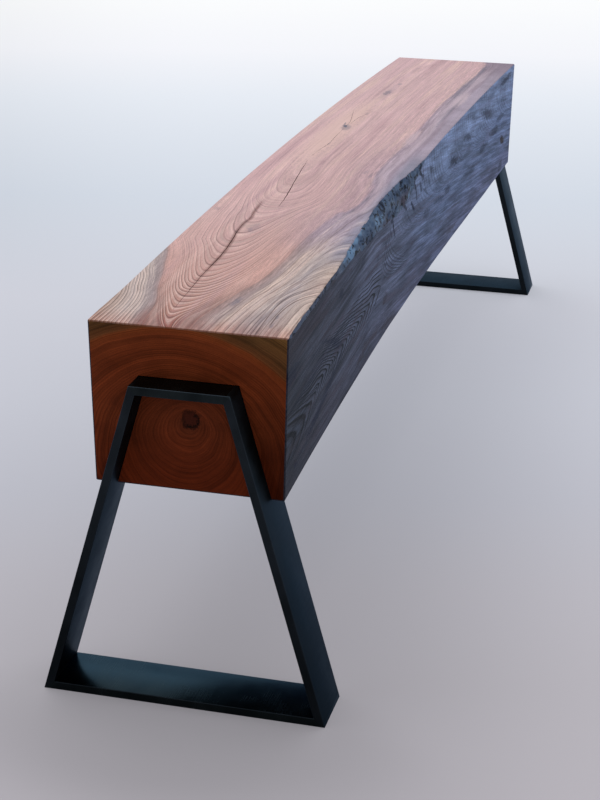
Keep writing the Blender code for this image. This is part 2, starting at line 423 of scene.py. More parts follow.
def makeBeamBlank():
    bm = bmesh.new()
    bmesh.ops.create_cube(bm, size=1)
    size = (2 * beam["halfLength"], beam["topWidth"], beam["height"])
    bmesh.ops.scale(bm, verts=bm.verts, vec=size)
    bmesh.ops.translate(bm, verts=bm.verts, vec=(0, 0, beam["height"] / 2))
    long = [edge for edge in bm.edges if abs(edge.verts[0].co.x - edge.verts[1].co.x) > beam["halfLength"]]
    plain = [edge for edge in long if edge.verts[0].co.y > 0 or edge.verts[0].co.z < beam["height"] / 2]
    bmesh.ops.bevel(bm, geom=plain, offset=beam["arris"], segments=3, profile=0.5, affect="EDGES",
                    clamp_overlap=True, material=-1)
    rows = [beam["cornerRow"] * (i + 1) for i in range(beam["cornerRows"])]
    half = beam["topWidth"] / 2
    cutAcross(bm, isTop, 1, [row - half for row in rows + beam["topRows"]])
    cutAcross(bm, isFront, 2, [beam["height"] - row for row in rows + beam["frontRows"]])
    cutAcross(bm, None, 0, stations())
    return bm


# Drying cracks: routes on the top as (x, y), y from the beam's bent centre
# line, with the widest opening and the depth of each

cracks = dict(
    long=dict(width=0.0014, depth=0.022, taper=0.5,
              route=[(-0.798, 0.0343), (-0.774, 0.035), (-0.734, 0.036), (-0.674, 0.038), (-0.588, 0.038),
                     (-0.544, 0.04), (-0.502, 0.044), (-0.469, 0.048), (-0.431, 0.049), (-0.409, 0.047),
                     (-0.384, 0.05), (-0.348, 0.052), (-0.318, 0.0545)]),
    short=dict(width=0.0016, depth=0.018, taper=0.25,
               route=[(-0.342, 0.0255), (-0.279, 0.03), (-0.199, 0.039), (-0.131, 0.046), (-0.068, 0.0523)]),
    hairline=dict(width=0.0007, depth=0.004, taper=0.4,
                  route=[(-0.036, 0.054), (0.009, 0.052), (0.051, 0.048), (0.125, 0.051), (0.176, 0.0515)]),
    farHairline=dict(width=0.0008, depth=0.004, taper=0.4,
                     route=[(0.188, 0.052), (0.219, 0.0535), (0.269, 0.062), (0.315, 0.07)]),
    farBranch=dict(width=0.0006, depth=0.003, taper=0.4,
                   route=[(0.199, 0.049), (0.23, 0.0495), (0.261, 0.048), (0.291, 0.04)]),
    step=0.006,
    wobble=0.0005,
    softenOver=(-0.012, -0.006, 0, 0.006, 0.012),  # the route's corners are rounded over these steps
    lean=0.12,  # how far the bottom leans back for its depth
    lip=0.004,  # the cutter stands this much out of the wood
    lipFlare=1.02,
    thinnest=0.00025,
)


def routePoint(route, x):
    for (x0, y0), (x1, y1) in zip(route, route[1:]):
        if x <= x1:
            return y0 + (y1 - y0) * (x - x0) / (x1 - x0)
    return route[-1][1]


def addBlade(bm, crack, seed):  # a V along the route, closing at both ends
    route = crack["route"]
    first, last = route[0][0], route[-1][0]
    steps = max(int((last - first) / cracks["step"]), 3)
    rings = []
    for i in range(steps + 1):
        share = i / steps
        x = first + (last - first) * share
        near = [routePoint(route, min(max(x + shift, first), last)) for shift in cracks["softenOver"]]
        y = sum(near) / len(near)
        y += cracks["wobble"] * (wander(x, 0.011, seed) + 0.6 * wander(x, 0.004, seed + 5))
        opening = min(min(share, 1 - share) / crack["taper"], 1)
        fullness = opening ** 0.6 * (0.75 + 0.35 * wander(x, 0.05, seed + 9))
        half = max(crack["width"] * fullness, cracks["thinnest"]) / 2
        depth = crack["depth"] * (0.4 + 0.6 * opening)
        y += beam["crook"] * beamBow(x)
        surface = beam["underside"] + beam["height"] + beam["camber"] * beamBow(x)
        flare, lip = half * cracks["lipFlare"], surface + cracks["lip"]
        points = [(x, y - flare, lip), (x, y - half, surface),
                  (x, y + depth * cracks["lean"], surface - depth),
                  (x, y + half, surface), (x, y + flare, lip)]
        verts = [bm.verts.new(point) for point in points]
        rings.append([bm.edges.new((verts[j - 1], verts[j])) for j in range(len(verts))])
    for lower, upper in zip(rings, rings[1:]):
        bmesh.ops.bridge_loops(bm, edges=lower + upper)
    bmesh.ops.holes_fill(bm, edges=rings[0] + rings[-1], sides=0)


def crackCutter(material):
    bm = bmesh.new()
    for i, name in enumerate(("long", "short", "hairline", "farHairline", "farBranch")):
        addBlade(bm, cracks[name], 3.3 + i)
    return newObject("crackCutter", bm, [material])


# The leg frames, as outlines (y, z) from the front foot round to the back foot

legFrame = dict(
    height=0.39,
    footWidth=0.34,
    topWidth=0.116,
    barWidth=0.075,
    barThickness=0.01,
    edgeEase=0.0008,
    standOff=0.035,
    weldLeg=0.0045,
    weldThroat=0.004,
    grooveClearance=0.0005,
    grooveDepth=0.0403,
    cutterPast=0.01,  # how far the groove cutters stand out of the wood
    sharpAngle=30,
)


def outerCorners(grow=0.0):
    lean = (legFrame["footWidth"] - legFrame["topWidth"]) / 2 / legFrame["height"]
    foot, top = legFrame["footWidth"] / 2, legFrame["topWidth"] / 2
    square = math.hypot(1, lean)
    foot += grow * (square + lean)
    top += grow * (square - lean)
    high = legFrame["height"] + grow
    return [Vector((-foot, -grow)), Vector((-top, high)), Vector((top, high)), Vector((foot, -grow))]


def extrudeOutline(bm, points, middle, length):  # an outline (y, z) made a prism along x
    low = middle - length / 2
    face = bm.faces.new([bm.verts.new((low, point.x, point.y)) for point in points])
    grown = bmesh.ops.extrude_face_region(bm, geom=[face])
    far = [item for item in grown["geom"] if isinstance(item, bmesh.types.BMVert)]
    bmesh.ops.translate(bm, verts=far, vec=(length, 0, 0))


def newObject(name, bm, materials):
    bmesh.ops.recalc_face_normals(bm, faces=bm.faces)
    mesh = bpy.data.meshes.new(name)
    bm.to_mesh(mesh)
    bm.free()
    for material in materials:
        mesh.materials.append(material)
    made = bpy.data.objects.new(name, mesh)
    bpy.context.collection.objects.link(made)
    return made


def grooveCutter(material):
    gap = legFrame["grooveClearance"]
    outer, inner = outerCorners(gap), outerCorners(-legFrame["barThickness"] - gap)
    mouth = beam["underside"] - legFrame["cutterPast"]
    feet = []
    for foot, top in ((outer[0], outer[1]), (inner[0], inner[1])):
        feet.append(foot.lerp(top, (mouth - foot.y) / (top.y - foot.y)))
    points = [feet[0], outer[1], outer[2], Vector((-feet[0].x, mouth)),
              Vector((-feet[1].x, mouth)), inner[2], inner[1], feet[1]]
    bm = bmesh.new()
    past = legFrame["cutterPast"]
    reach = legFrame["grooveDepth"] + past
    for side in (-1, 1):
        extrudeOutline(bm, points, side * (beam["halfLength"] + past - reach / 2), reach)
    return newObject("grooveCutter", bm, [material])


lagHole = dict(
    endDistance=0.020,
    spacing=0.052,
    wide=0.011,
    deep=0.040,
    narrow=0.0044,
    tip=0.4258,
    sides=32,
    cutterPast=0.01,
    overlap=0.001,
)


def lagHoleCutter(material):
    bm = bmesh.new()
    for side in (-1, 1):
        for across in (-1, 1):
            x = side * (beam["halfLength"] - lagHole["endDistance"])
            y = across * lagHole["spacing"] / 2
            seat = beam["underside"] + lagHole["deep"]
            for radius, low, high in ((lagHole["wide"], beam["underside"] - lagHole["cutterPast"], seat),
                                      (lagHole["narrow"], seat - lagHole["overlap"], lagHole["tip"])):
                place = Matrix.Translation((x, y, (low + high) / 2))
                bmesh.ops.create_cone(bm, cap_ends=True, segments=lagHole["sides"], radius1=radius,
                                      radius2=radius, depth=high - low, matrix=place)
    return newObject("lagHoleCutter", bm, [material])


def cutPiece(piece, cutter, overlapping=False):
    cut = piece.modifiers.new(cutter.name, "BOOLEAN")
    cut.operation = "DIFFERENCE"
    cut.solver = "EXACT"
    cut.material_mode = "TRANSFER"
    cut.use_self = overlapping
    cut.object = cutter
    applied = bpy.data.meshes.new_from_object(piece.evaluated_get(bpy.context.evaluated_depsgraph_get()))
    piece.modifiers.clear()
    piece.data = applied
    bpy.data.objects.remove(cutter, do_unlink=True)


def makeBeam(finishes):
    bm = makeBeamBlank()
    slots = ["planedTop", "weatheredSideWithPaintedSheen", "endGrain", "barkEdge"]
    corner = beam["cornerRows"] * beam["cornerRow"]
    for face in bm.faces:
        slot = "weatheredSideWithPaintedSheen"
        middle = face.calc_center_median()
        fromFront = middle.y + beam["topWidth"] / 2
        fromTop = beam["height"] - middle.z
        drop = smoothAlong(beam["waneDown"], middle.x)
        if abs(face.normal.x) > 0.5:
            slot = "endGrain"
        elif fromFront < corner and fromTop < corner:
            turn = 1.0 if isFront(face) else 0.5 - fromFront / corner / 2
            below = waneCurve(turn, 0, drop)[1]
            bark = drop > beam["barkFrom"] and below > beam["barkBelow"]
            slot = "barkEdge" if bark else "weatheredSideWithPaintedSheen" if isFront(face) else "planedTop"
        elif face.normal.z > 0.5:
            slot = "planedTop"
        face.material_index = slots.index(slot)
    for vert in bm.verts:
        vert.co = shapeBeam(vert.co)
    piece = newObject("timberBeam", bm, [finishes[name] for name in slots])
    cutPiece(piece, grooveCutter(finishes["freshCut"]))
    cutPiece(piece, lagHoleCutter(finishes["freshCut"]), overlapping=True)
    cutPiece(piece, crackCutter(finishes["crackWall"]))
    piece.data.shade_smooth()
    piece.data.set_sharp_from_angle(angle=math.radians(beam["sharpAngle"]))
    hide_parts("timber_beam")
    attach(piece, "root")
    print("beam:", len(piece.data.polygons), "faces")


# A piece of bar or weld with its long outside edges eased. The eased faces take
# the second material, lighter where the finish is rubbed thin and with a painted edge highlight.
def makeSteelPiece(name, points, side, eased, finishes):
    bm = bmesh.new()
    middle = side * (beam["halfLength"] + legFrame["standOff"] - legFrame["barWidth"] / 2)
    extrudeOutline(bm, points, middle, legFrame["barWidth"])
    edges = []
    for edge in bm.edges:
        first, second = [Vector(vert.co.yz) for vert in edge.verts]
        for i in eased:
            ends = [points[i], points[(i + 1) % len(points)]]
            reach = min((first - ends[0]).length + (second - ends[1]).length,
                        (first - ends[1]).length + (second - ends[0]).length)
            if reach < 1e-5:
                edges.append(edge)
    made = bmesh.ops.bevel(bm, geom=edges, offset=legFrame["edgeEase"], segments=3, profile=0.5,
                           affect="EDGES", clamp_overlap=True, material=-1)
    for face in made["faces"]:
        face.material_index = 1
    piece = newObject(name, bm, finishes)
    piece.data.shade_smooth()
    piece.data.set_sharp_from_angle(angle=math.radians(legFrame["sharpAngle"]))
    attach(piece, "root")
    return piece


def makeFrames(bar, leg, barEdgeAndHighlight, weld, weldEdgeAndHighlight):
    outer = outerCorners()
    inner = outerCorners(-legFrame["barThickness"])
    barNames = ["front_leg", "top_bar", "back_leg", "foot_bar"]
    weldNames = ["front_foot_weld", "front_top_weld", "back_top_weld", "back_foot_weld"]
    setBack, throat = legFrame["weldLeg"], legFrame["weldThroat"]
    for end, side in (("left", -1), ("right", 1)):
        for i in range(4):
            j = (i + 1) % 4
            run = (outer[j] - outer[i]).normalized()
            back = (outer[i] - outer[i - 1]).normalized()
            startMitre = (inner[i] - outer[i]).normalized()
            endMitre = (inner[j] - outer[j]).normalized()
            points = [outer[i] + startMitre * throat, outer[i] + run * setBack, outer[j] - run * setBack,
                      outer[j] + endMitre * throat, inner[j], inner[i]]
            # the near frame's bars take the brighter steel; the far frame's bars take the duller copy,
            # painted shade for the lesser light there
            face = bar if barNames[i].endswith("bar") and end == "left" else leg
            piece = makeSteelPiece(camel(end, barNames[i]), points, side, (1, 4), [face, barEdgeAndHighlight])
            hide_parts(f"{end}_{barNames[i]}")
            points = [outer[i] - back * setBack, outer[i], outer[i] + run * setBack,
                      outer[i] + startMitre * throat]
            piece = makeSteelPiece(camel(end, weldNames[i]), points, side, (0, 1), [weld, weldEdgeAndHighlight])
            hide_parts(f"{end}_{weldNames[i]}")
    print("frames: 8 bars and 8 ground corners")


def camel(end, name):
    return end + "".join(word.capitalize() for word in name.split("_"))


# Shared wood effects


# From object place to the beam's own: metres from the near end, across from
# the bent centre line, and up from the floor with the camber taken out
def makeBeamPlace():
    group, (place,) = openGroup("beamPlace", Place=None)
    x, y, z = splitPlace(place)
    share = x / beam["halfLength"]
    bow = 1.0 - share * share
    across = y - bow * beam["crook"]
    up = z - bow * beam["camber"]
    straight = addNode("CombineXYZ", {0: x, 1: across, 2: up})
    return closeGroup(group, Along=x + beam["halfLength"], Across=across, Up=up, Straight=straight)


# Year rings from a running count: a thin dark line that ends each ring, the
# pale wood after it, a tone of its own for each ring, and streaks along the rings
def makeYearRings():
    group, (running, along, wobble, sharpness) = openGroup("yearRings", Count=0.0, Along=0.0, Wobble=0.2,
                                                           Sharpness=0.3)

    def ringNoise(count, length, rate, seed, detail):
        place = addNode("CombineXYZ", {0: along / length, 1: count * rate, 2: seed})
        return addNode("TexNoise", {"Vector": place, "Scale": 1.0, "Detail": detail, "Roughness": 0.6})

    drift = ringNoise(running, 0.06, 0.4, 2.0, 4.0)
    count = running + (drift - 0.5) * wobble * 2.0
    share = calc("FRACT", count)
    tone = addNode("TexWhiteNoise", {"W": calc("FLOOR", count)}, noise_dimensions="1D")
    line = between(share, 0.92 - sharpness, 0.93, 0.94, 1.0)
    line *= rise(tone, 0.0, 1.0, 0.6, 1.0)
    pale = between(share, 0.0, 0.12, 0.22, 0.5)
    return closeGroup(group, Line=line, Pale=pale, Tone=tone, Streak=ringNoise(count, 0.11, 2.3, 7.0, 4.0),
                      Fine=ringNoise(count, 0.035, 9.0, 3.0, 3.0))


# Long fine fibres and short open pores, both running along the beam
def makeFibres():
    group, (place,) = openGroup("fibres", Place=None)
    streak = grainNoise(place, (0.16, 0.0045, 0.0045), detail=4.0)
    fine = grainNoise(place, (0.03, 0.0009, 0.0009), detail=3.0, roughness=0.65)
    pore = rise(grainNoise(place, (0.008, 0.00045, 0.00045), detail=1.0), 0.62, 0.72)
    speck = grainNoise(place, (0.004, 0.0011, 0.0011), detail=2.0, roughness=0.6)
    return closeGroup(group, Streak=streak, Fine=fine, Pore=pore, Speck=speck)


# A soft spot, stroke or knot at a place on one face, with a ragged outline
def makeSpot():
    group, inputs = openGroup("spot", Along=0.0, Across=0.0, Ragged=0.5, X=0.0, Y=0.0, Length=0.01,
                              Width=0.01, Tilt=0.0)
    along, across, ragged, x, y, length, width, tilt = inputs
    dx = along - x
    dy = across - y
    a = dx / length
    b = (dy - dx * tilt) / width
    reach = calc("SQRT", a * a + b * b) + ragged
    return closeGroup(group, Mask=fall(reach, 0.4, 1.15))


beamPlace = makeBeamPlace()
yearRings = makeYearRings()
fibres = makeFibres()
spot = makeSpot()


def addSpots(along, across, ragged, spots):  # one mask from a list of spots
    total = 0.0
    for x, y, length, width, tilt, strength in spots:
        mask = useGroup(spot, Along=along, Across=across, Ragged=ragged, X=x, Y=y, Length=length, Width=width,
                        Tilt=tilt)["Mask"]
        total = larger(total, mask * strength)
    return total


# The planed top. Curves run along the beam in metres from the near end: the
# line that the arches of the grain stand on, the ring count on it, and the
# edges of the heartwood towards the back and the front.

topFigure = dict(
    driftSize=(0.12, 0.03, 0.03),
    drift=0.003,
    raggedSize=(0.009, 0.003, 0.003),
    raggedness=1.6,
    axis=[(0, 0.0225), (0.014, 0.0275), (0.029, 0.0305), (0.05, 0.033), (0.087, 0.035), (0.133, 0.0363),
          (0.207, 0.0387), (0.3, 0.0405), (0.383, 0.044), (0.45, 0.044), (0.5, 0.04), (0.572, 0.0395),
          (0.667, 0.045), (0.8, 0.0517)],
    count=[(0, -0.5), (0.029, 0), (0.048, 1), (0.067, 2), (0.087, 3), (0.107, 4), (0.123, 5), (0.133, 6),
           (0.142, 7), (0.157, 8), (0.167, 9), (0.185, 10), (0.215, 11.3), (0.258, 13), (0.313, 15),
           (0.345, 16.2), (0.4, 17.5), (0.46, 18.6), (0.5, 19.6), (0.533, 21), (0.563, 23), (0.59, 24),
           (0.633, 25), (0.73, 26)],
    # the same without its unevenness, for the legs of the arches
    evenCount=[(0, -0.5), (0.029, 0), (0.09, 3.4), (0.16, 7.9), (0.25, 12.3), (0.35, 16), (0.5, 20.2),
               (0.6, 23.8), (0.73, 26)],
    heartCount=-3.0,
    heartCurve=(2.0, 2.4),  # how bluntly the arches end, back and front
    # the heartwood's edges at the near end, and the lines a little inside them where the arches end
    backEdge=[(0, 0.051), (0.033, 0.0545), (0.067, 0.057), (0.1, 0.0635)],
    ringBack=[(0, 0.031), (0.031, 0.044), (0.078, 0.057)],
    frontEdge=[(0, 0.0025), (0.033, 0.0005), (0.067, -0.0042), (0.1, -0.0102), (0.133, -0.017),
               (0.167, -0.0257), (0.2, -0.0322)],
    ringFront=[(0, 0.015), (0.031, 0.0135), (0.062, 0.004), (0.094, -0.005), (0.125, -0.013), (0.16, -0.022),
               (0.2, -0.0317)],
    # and how both of them run on
    farBack=[(0.133, 0.0725), (0.167, 0.0795), (0.2, 0.0865), (0.233, 0.094), (0.267, 0.1015), (0.3, 0.112),
             (0.34, 0.13)],
    farFront=[(0.233, -0.0357), (0.3, -0.0395), (0.367, -0.0415), (0.433, -0.0465), (0.5, -0.0545),
              (0.572, -0.07), (0.64, -0.069), (0.705, -0.06), (0.765, -0.0545), (0.875, -0.059),
              (0.985, -0.0635), (1.095, -0.061), (1.2, -0.0575), (1.56, -0.06), (1.65, -0.06),
              (1.715, -0.05)],
    backDensity=[(0, 205), (0.067, 245), (0.133, 275), (0.2, 220)],  # rings per metre past the heartwood
    frontRings=12.0,
    # how many of them are left at the front face
    edgeRings=[(0, 12), (0.1, 11.7), (0.133, 10.5), (0.157, 9), (0.183, 8), (0.253, 6.3), (0.333, 5),
               (0.45, 4), (0.8, 3.2)],
    frontFace=-0.1135,
    bandStretch=[(0, 0.85), (0.1, 0.9), (0.14, 1), (0.18, 1.18), (0.22, 1.3), (0.28, 1.34), (0.34, 1.14),
                 (0.45, 1)],
    nearShade=[(-0.103, 0), (-0.092, 1), (-0.048, 1), (-0.034, 0)],  # across: where the near end is greyer
    levelAcross=[(-0.06, 0.93), (-0.02, 0.95), (0.02, 0.93), (0.05, 0.94), (0.085, 1.06), (0.113, 1.08)],
    lineStrength=[(0, 1), (0.17, 1), (0.22, 0.7), (0.4, 0.6), (0.5, 0.55), (0.7, 0.25), (1.715, 0.12)],
    lineWidth=[(0, 0.24), (0.12, 0.26), (0.2, 0.18), (0.3, 0.13), (0.5, 0.12), (0.6, 0.16), (1.715, 0.22)],
    # lines drawn on their own: how dark, and the route
    strongLines=[
        (0.9, [(0, -0.075), (0.094, -0.075), (0.141, -0.0812), (0.166, -0.092), (0.181, -0.1075)]),
        (0.9, [(0.034, -0.084), (0.069, -0.0842), (0.119, -0.0906), (0.137, -0.097), (0.154, -0.109)]),
        (0.45, [(0.13, -0.069), (0.156, -0.0719), (0.203, -0.0812), (0.25, -0.099), (0.266, -0.107)]),
        (0.45, [(0, -0.0655), (0.119, -0.07), (0.17, -0.076), (0.22, -0.092), (0.245, -0.105)])],
    between=0.4,  # share of a ring between the end of the arches and the heartwood's edge
    crackPath=[(0.055, 0.0343), (0.085, 0.035), (0.125, 0.036), (0.185, 0.038), (0.27, 0.038), (0.315, 0.04),
               (0.357, 0.044), (0.39, 0.048), (0.428, 0.049), (0.45, 0.047), (0.475, 0.05), (0.54, 0.0545)],
)

topTones = dict(
    heart=[(0, (142, 70, 46)), (0.018, (152, 88, 70)), (0.045, (168, 112, 96)), (0.09, (183, 132, 119)),
           (0.19, (199, 149, 139)), (0.36, (203, 158, 153)), (0.5, (206, 163, 162)), (0.8, (208, 166, 167)),
           (1.07, (211, 170, 172)), (1.5, (209, 168, 171)), (1.715, (210, 168, 172))],
    backSap=[(0, (156, 122, 118)), (0.003, (152, 125, 124)), (0.008, (158, 137, 138)),
             (0.014, (176, 156, 155)), (0.0195, (193, 174, 169)), (0.0215, (216, 194, 186)),
             (0.0235, (190, 170, 164)), (0.027, (210, 188, 180)), (0.032, (188, 170, 166)),
             (0.036, (200, 178, 170)), (0.04, (186, 164, 156)), (0.048, (182, 154, 142)),
             (0.06, (176, 140, 122))],
    frontSap=[(0, (158, 118, 110)), (0.004, (156, 122, 117)), (0.01, (156, 126, 123)),
              (0.016, (164, 138, 137)), (0.021, (172, 148, 146)), (0.025, (186, 160, 152)),
              (0.028, (222, 194, 182)), (0.0305, (188, 160, 152)), (0.033, (220, 194, 184)),
              (0.037, (201, 176, 170)), (0.041, (207, 180, 170)), (0.046, (192, 171, 166)),
              (0.054, (184, 166, 164)), (0.061, (172, 156, 158)), (0.069, (178, 160, 158)),
              (0.08, (190, 168, 160)), (0.095, (203, 178, 166))],
    farSap=[(0, (188, 150, 156)), (0.004, (160, 134, 148)), (0.01, (156, 132, 148)), (0.018, (184, 160, 174)),
            (0.024, (178, 156, 172)), (0.03, (152, 130, 148)), (0.04, (166, 148, 168)),
            (0.06, (170, 152, 170))],
    farCorner=(128, 106, 126),
    nearEnd=(247, 212, 203),
    nearGrey=(230, 224, 227),
    lightMauve=(194, 170, 180),
    washes=[(1.315, -0.0855, 0.08, 0.011, 0, 0.9), (0.985, -0.068, 0.07, 0.009, 0, 0.6)],
    # a painted sheen on the back of the far half
    paintedSheens=[(1.01, 0.06, 0.3, 0.03, 0, 0.75)],
    edgeShade=(128, 126, 150),
    cream=(228, 204, 188),
    sapShade=(196, 178, 178),
    crackHalo=(176, 150, 146),
    orange=(204, 148, 134),
    peach=(224, 186, 176),
    rose=(188, 144, 150),
    mauve=(160, 132, 150),
    lineTint=(128, 92, 90),
    pale=(234, 204, 194),
    bruise=(70, 72, 98),
    rim=(136, 92, 86),
    arris=(108, 66, 42),
    knots=[(1.042, 0.0535, 0.013, 0.0045, 0.25, 1), (1.033, 0.05, 0.026, 0.009, 0.1, 0.5),
           (1.3405, 0.05, 0.03, 0.0075, 0, 0.6), (1.35, 0.051, 0.08, 0.011, 0, 0.16),
           (1.4275, 0.047, 0.012, 0.005, 0, 0.35), (1.62, -0.068, 0.07, 0.006, 0.06, 0.45),
           (1.2, -0.0865, 0.16, 0.0035, 0, 0.4), (1.44, -0.07, 0.16, 0.0095, 0, 0.45),
           (0.55, -0.0765, 0.13, 0.003, -0.12, 0.35), (0.398, 0.033, 0.016, 0.005, 0.1, 0.4),
           (0.9085, 0.048, 0.008, 0.002, 0, 0.4), (1.149, 0.042, 0.01, 0.003, 0, 0.25),
           (0.486, 0.103, 0.01, 0.005, 0.2, 0.25), (0.105, -0.0265, 0.02, 0.005, -0.1, 0.45),
           (0.744, -0.047, 0.014, 0.004, 0, 0.25), (0.035, -0.086, 0.012, 0.0018, 0, 0.45),
           (0.067, -0.085, 0.01, 0.0016, 0, 0.45), (0.405, 0.03, 0.03, 0.01, 0, 0.22),
           (1.045, 0.056, 0.03, 0.0022, 0.15, 0.6), (0.51, -0.088, 0.016, 0.004, 0, 0.25),
           (0.725, -0.058, 0.018, 0.003, 0, 0.3)],
)


def makePlanedTop():
    material, place, shader = newMaterial("planedTop")
    where = useGroup(beamPlace, Place=place)
    along, across, straight = where["Along"], where["Across"], where["Straight"]

    wavy = drifted(across, straight, topFigure)
    axis = curveAlong(along, topFigure["axis"])
    backEdge, ringBack = [curveAlong(along, topFigure[name] + topFigure["farBack"])
                          for name in ("backEdge", "ringBack")]
    frontEdge, ringFront = [curveAlong(along, topFigure[name] + topFigure["farFront"])
                            for name in ("frontEdge", "ringFront")]

    # share of the way from the axis to where the arches end, on either side
    backShare = (wavy - axis) / (ringBack - axis)
    frontShare = (axis - wavy) / (axis - ringFront)
    even = curveAlong(along, topFigure["evenCount"])
    uneven = curveAlong(along, topFigure["count"]) - even
    outward = larger(backShare, frontShare)
    uneven *= fall(outward, 0.05, 0.65)
    onAxis = (even + uneven) * -1.0
    deficit = -topFigure["heartCount"] - onAxis
    backHeart, frontHeart = [smaller(larger(share, 0.0), 1.0) ** power
                             for share, power in zip((backShare, frontShare), topFigure["heartCurve"])]
    inHeart = deficit * (backHeart + frontHeart) + onAxis

    # past the heartwood: at the front the rings run out over the edge one by one
    backOut = larger(wavy - backEdge, 0.0)
    frontOut = larger(frontEdge - wavy, 0.0)
    pastBack = larger(wavy - ringBack, 0.0)
    pastFront = larger(ringFront - wavy, 0.0)
    backGap = larger(backEdge - ringBack, 0.001)
    backBetween = calc("DIVIDE", pastBack, backGap, clamp=True) * topFigure["between"]
    backRings = backOut * curveAlong(along, topFigure["backDensity"]) + backBetween
    frontGap = larger(ringFront - frontEdge, 0.001)
    frontBetween = calc("DIVIDE", pastFront, frontGap, clamp=True) * topFigure["between"]
    toFace = calc("DIVIDE", frontOut, frontEdge - topFigure["frontFace"], clamp=True)
    edgeRings = curveAlong(along, topFigure["edgeRings"])
    left = (1.0 - toFace) ** (topFigure["frontRings"] / edgeRings)
    frontRings = edgeRings * (1.0 - left) + frontBetween
    count = inHeart + backRings + frontRings
    thin = rise(frontOut, 0.0, 0.006, 1.0, 0.6) * curveAlong(along, topFigure["lineWidth"])
    rings = useGroup(yearRings, Count=count, Along=along, Wobble=0.08, Sharpness=thin)
    grain = useGroup(fibres, Place=straight)

    # colours of heartwood, the dark band outside it and the sapwood
    colour = colourAlong(along, topTones["heart"])
    warm = rise(frontShare, 0.1, 0.7) * between(along, 0.12, 0.24, 0.28, 0.5)
    colour = blend(warm * 0.35, colour, topTones["orange"])
    rim = rise(outward, 0.5, 0.95) * rise(along, 0.05, 0.19, 0.75, 0.0)
    colour = blend(rim, colour, topTones["rim"])
    broad = grainNoise(straight, (0.35, 0.013, 0.013), detail=3.0)
    broadly = rise(along, 0.3, 0.7, 0.3, 0.75)
    colour = blend(rise(broad, 0.5, 0.7) * broadly, colour, topTones["peach"])
    colour = blend(rise(broad, 0.5, 0.3) * broadly, colour, topTones["rose"])
    level = curveAlong(wavy, topFigure["levelAcross"]) - 1.0
    level *= rise(along, 0.16, 0.36) * rise(along, 0.75, 1.1, 1.0, 0.25)
    colour = scaleColour(colour, level + 1.0)
    mauve = rise(frontShare, 0.45, 1.0) * rise(along, 0.3, 0.4, 0.0, 0.35)
    colour = blend(mauve * fall(along, 0.8, 1.1), colour, topTones["mauve"])
    stretched = frontOut * curveAlong(along, topFigure["bandStretch"])
    feather = grainNoise(straight, (0.28, 0.009, 0.009), detail=3.0) - 0.5
    feather *= rise(along, 0.3, 0.65, 0.0, 0.026)
    farOut = larger(frontEdge - wavy + feather, 0.0)
    farSap = colourAlong(farOut, topTones["farSap"])
    farSap = blend(rise(along, 1.52, 1.67, 0.0, 0.85), farSap, topTones["farCorner"])
    frontSap = blend(rise(along, 0.28, 0.44), colourAlong(stretched, topTones["frontSap"]), farSap)
    outside = farOut * rise(along, 0.3, 0.65, 1.0, 0.5)
    colour = blend(rise(outside, 0.0, 0.005), colour, frontSap)
    backSap = colourAlong(backOut, topTones["backSap"])
    browned = rise(along, 0.03, 0.09, 0.8, 0.0) * fall(backOut, 0.006, 0.016)
    backSap = blend(browned, backSap, topTones["rim"])
    colour = blend(rise(backOut, 0.0, 0.004), colour, backSap)
    colour = blend(fall(along, 0.0, 0.055), colour, topTones["nearEnd"], "MULTIPLY")
    greyed = curveAlong(wavy, topFigure["nearShade"]) * fall(along, 0.055, 0.095)
    wedge = between(along, 0.14, 0.16, 0.2, 0.23) * rise(wavy, -0.088, -0.1, 0.0, 0.8)
    greyed = larger(greyed, wedge)
    colour = blend(greyed, colour, topTones["nearGrey"], "MULTIPLY")
    byEdge = rise(wavy, -0.086, -0.102) * between(along, 0.24, 0.34, 0.8, 0.9) * 0.8
    colour = blend(byEdge, colour, topTones["edgeShade"])

    # fine cream and grey lines in the sapwood of the near part
    inSap = rise(larger(frontOut, backOut), 0.004, 0.014) * fall(along, 0.4, 0.6)
    creamy = inSap * rise(rings["Streak"], 0.52, 0.72, 0.0, 0.5)
    colour = blend(creamy, colour, topTones["cream"])
    greyLines = inSap * rise(rings["Fine"], 0.52, 0.32, 0.0, 0.7)
    colour = blend(greyLines, colour, topTones["sapShade"], "MULTIPLY")

    # rings, streaks and pores over them
    strength = curveAlong(along, topFigure["lineStrength"])
    crowded = larger(rise(backShare, 0.55, 0.95), rise(frontShare, 0.45, 0.95))
    crowded *= fall(backOut, 0.014, 0.02) * fall(frontOut, 0.011, 0.018)
    crowded *= rise(larger(backOut, frontOut), 0.0, 0.004, 0.5, 0.82)
    paleness = strength * rise(frontOut, 0.0, 0.01, 0.42, 0.16) * (1.0 - crowded)
    colour = blend(rings["Pale"] * paleness, colour, topTones["pale"])
    soft = rise(frontOut, 0.0, 0.012, 1.0, 0.75) - crowded
    line = rings["Line"] * strength * soft
    for darkness, route in topFigure["strongLines"]:
        first, last = route[0][0], route[-1][0]
        off = abs(wavy - curveAlong(along, route))
        drawn = rise(off, 0.0003, 0.0012, darkness, 0.0) * fall(along, last, last + 0.002)
        line = larger(line, drawn * rise(along, first - 0.01, first + 0.01))
    colour = blend(line, colour, topTones["lineTint"], "MULTIPLY")
    shade = product((rings["Streak"], 0.25, 0.75, 0.82, 1.14), (rings["Tone"], 0.0, 1.0, 1.05, 0.94),
                    (rings["Fine"], 0.25, 0.75, 0.9, 1.08), (grain["Speck"], 0.3, 0.7, 0.91, 1.08),
                    (grain["Streak"], 0.25, 0.75, 0.93, 1.05), (grain["Fine"], 0.25, 0.75, 0.95, 1.04))
    mottle = rise(grainNoise(straight, (0.022, 0.0022, 0.0022), detail=4.0), 0.3, 0.7, 0.74, 1.24)
    shade *= (mottle - 1.0) * crowded + 1.0
    colour = scaleColour(colour, shade)
    colour = blend(grain["Pore"] * 0.4, colour, topTones["lineTint"], "MULTIPLY")

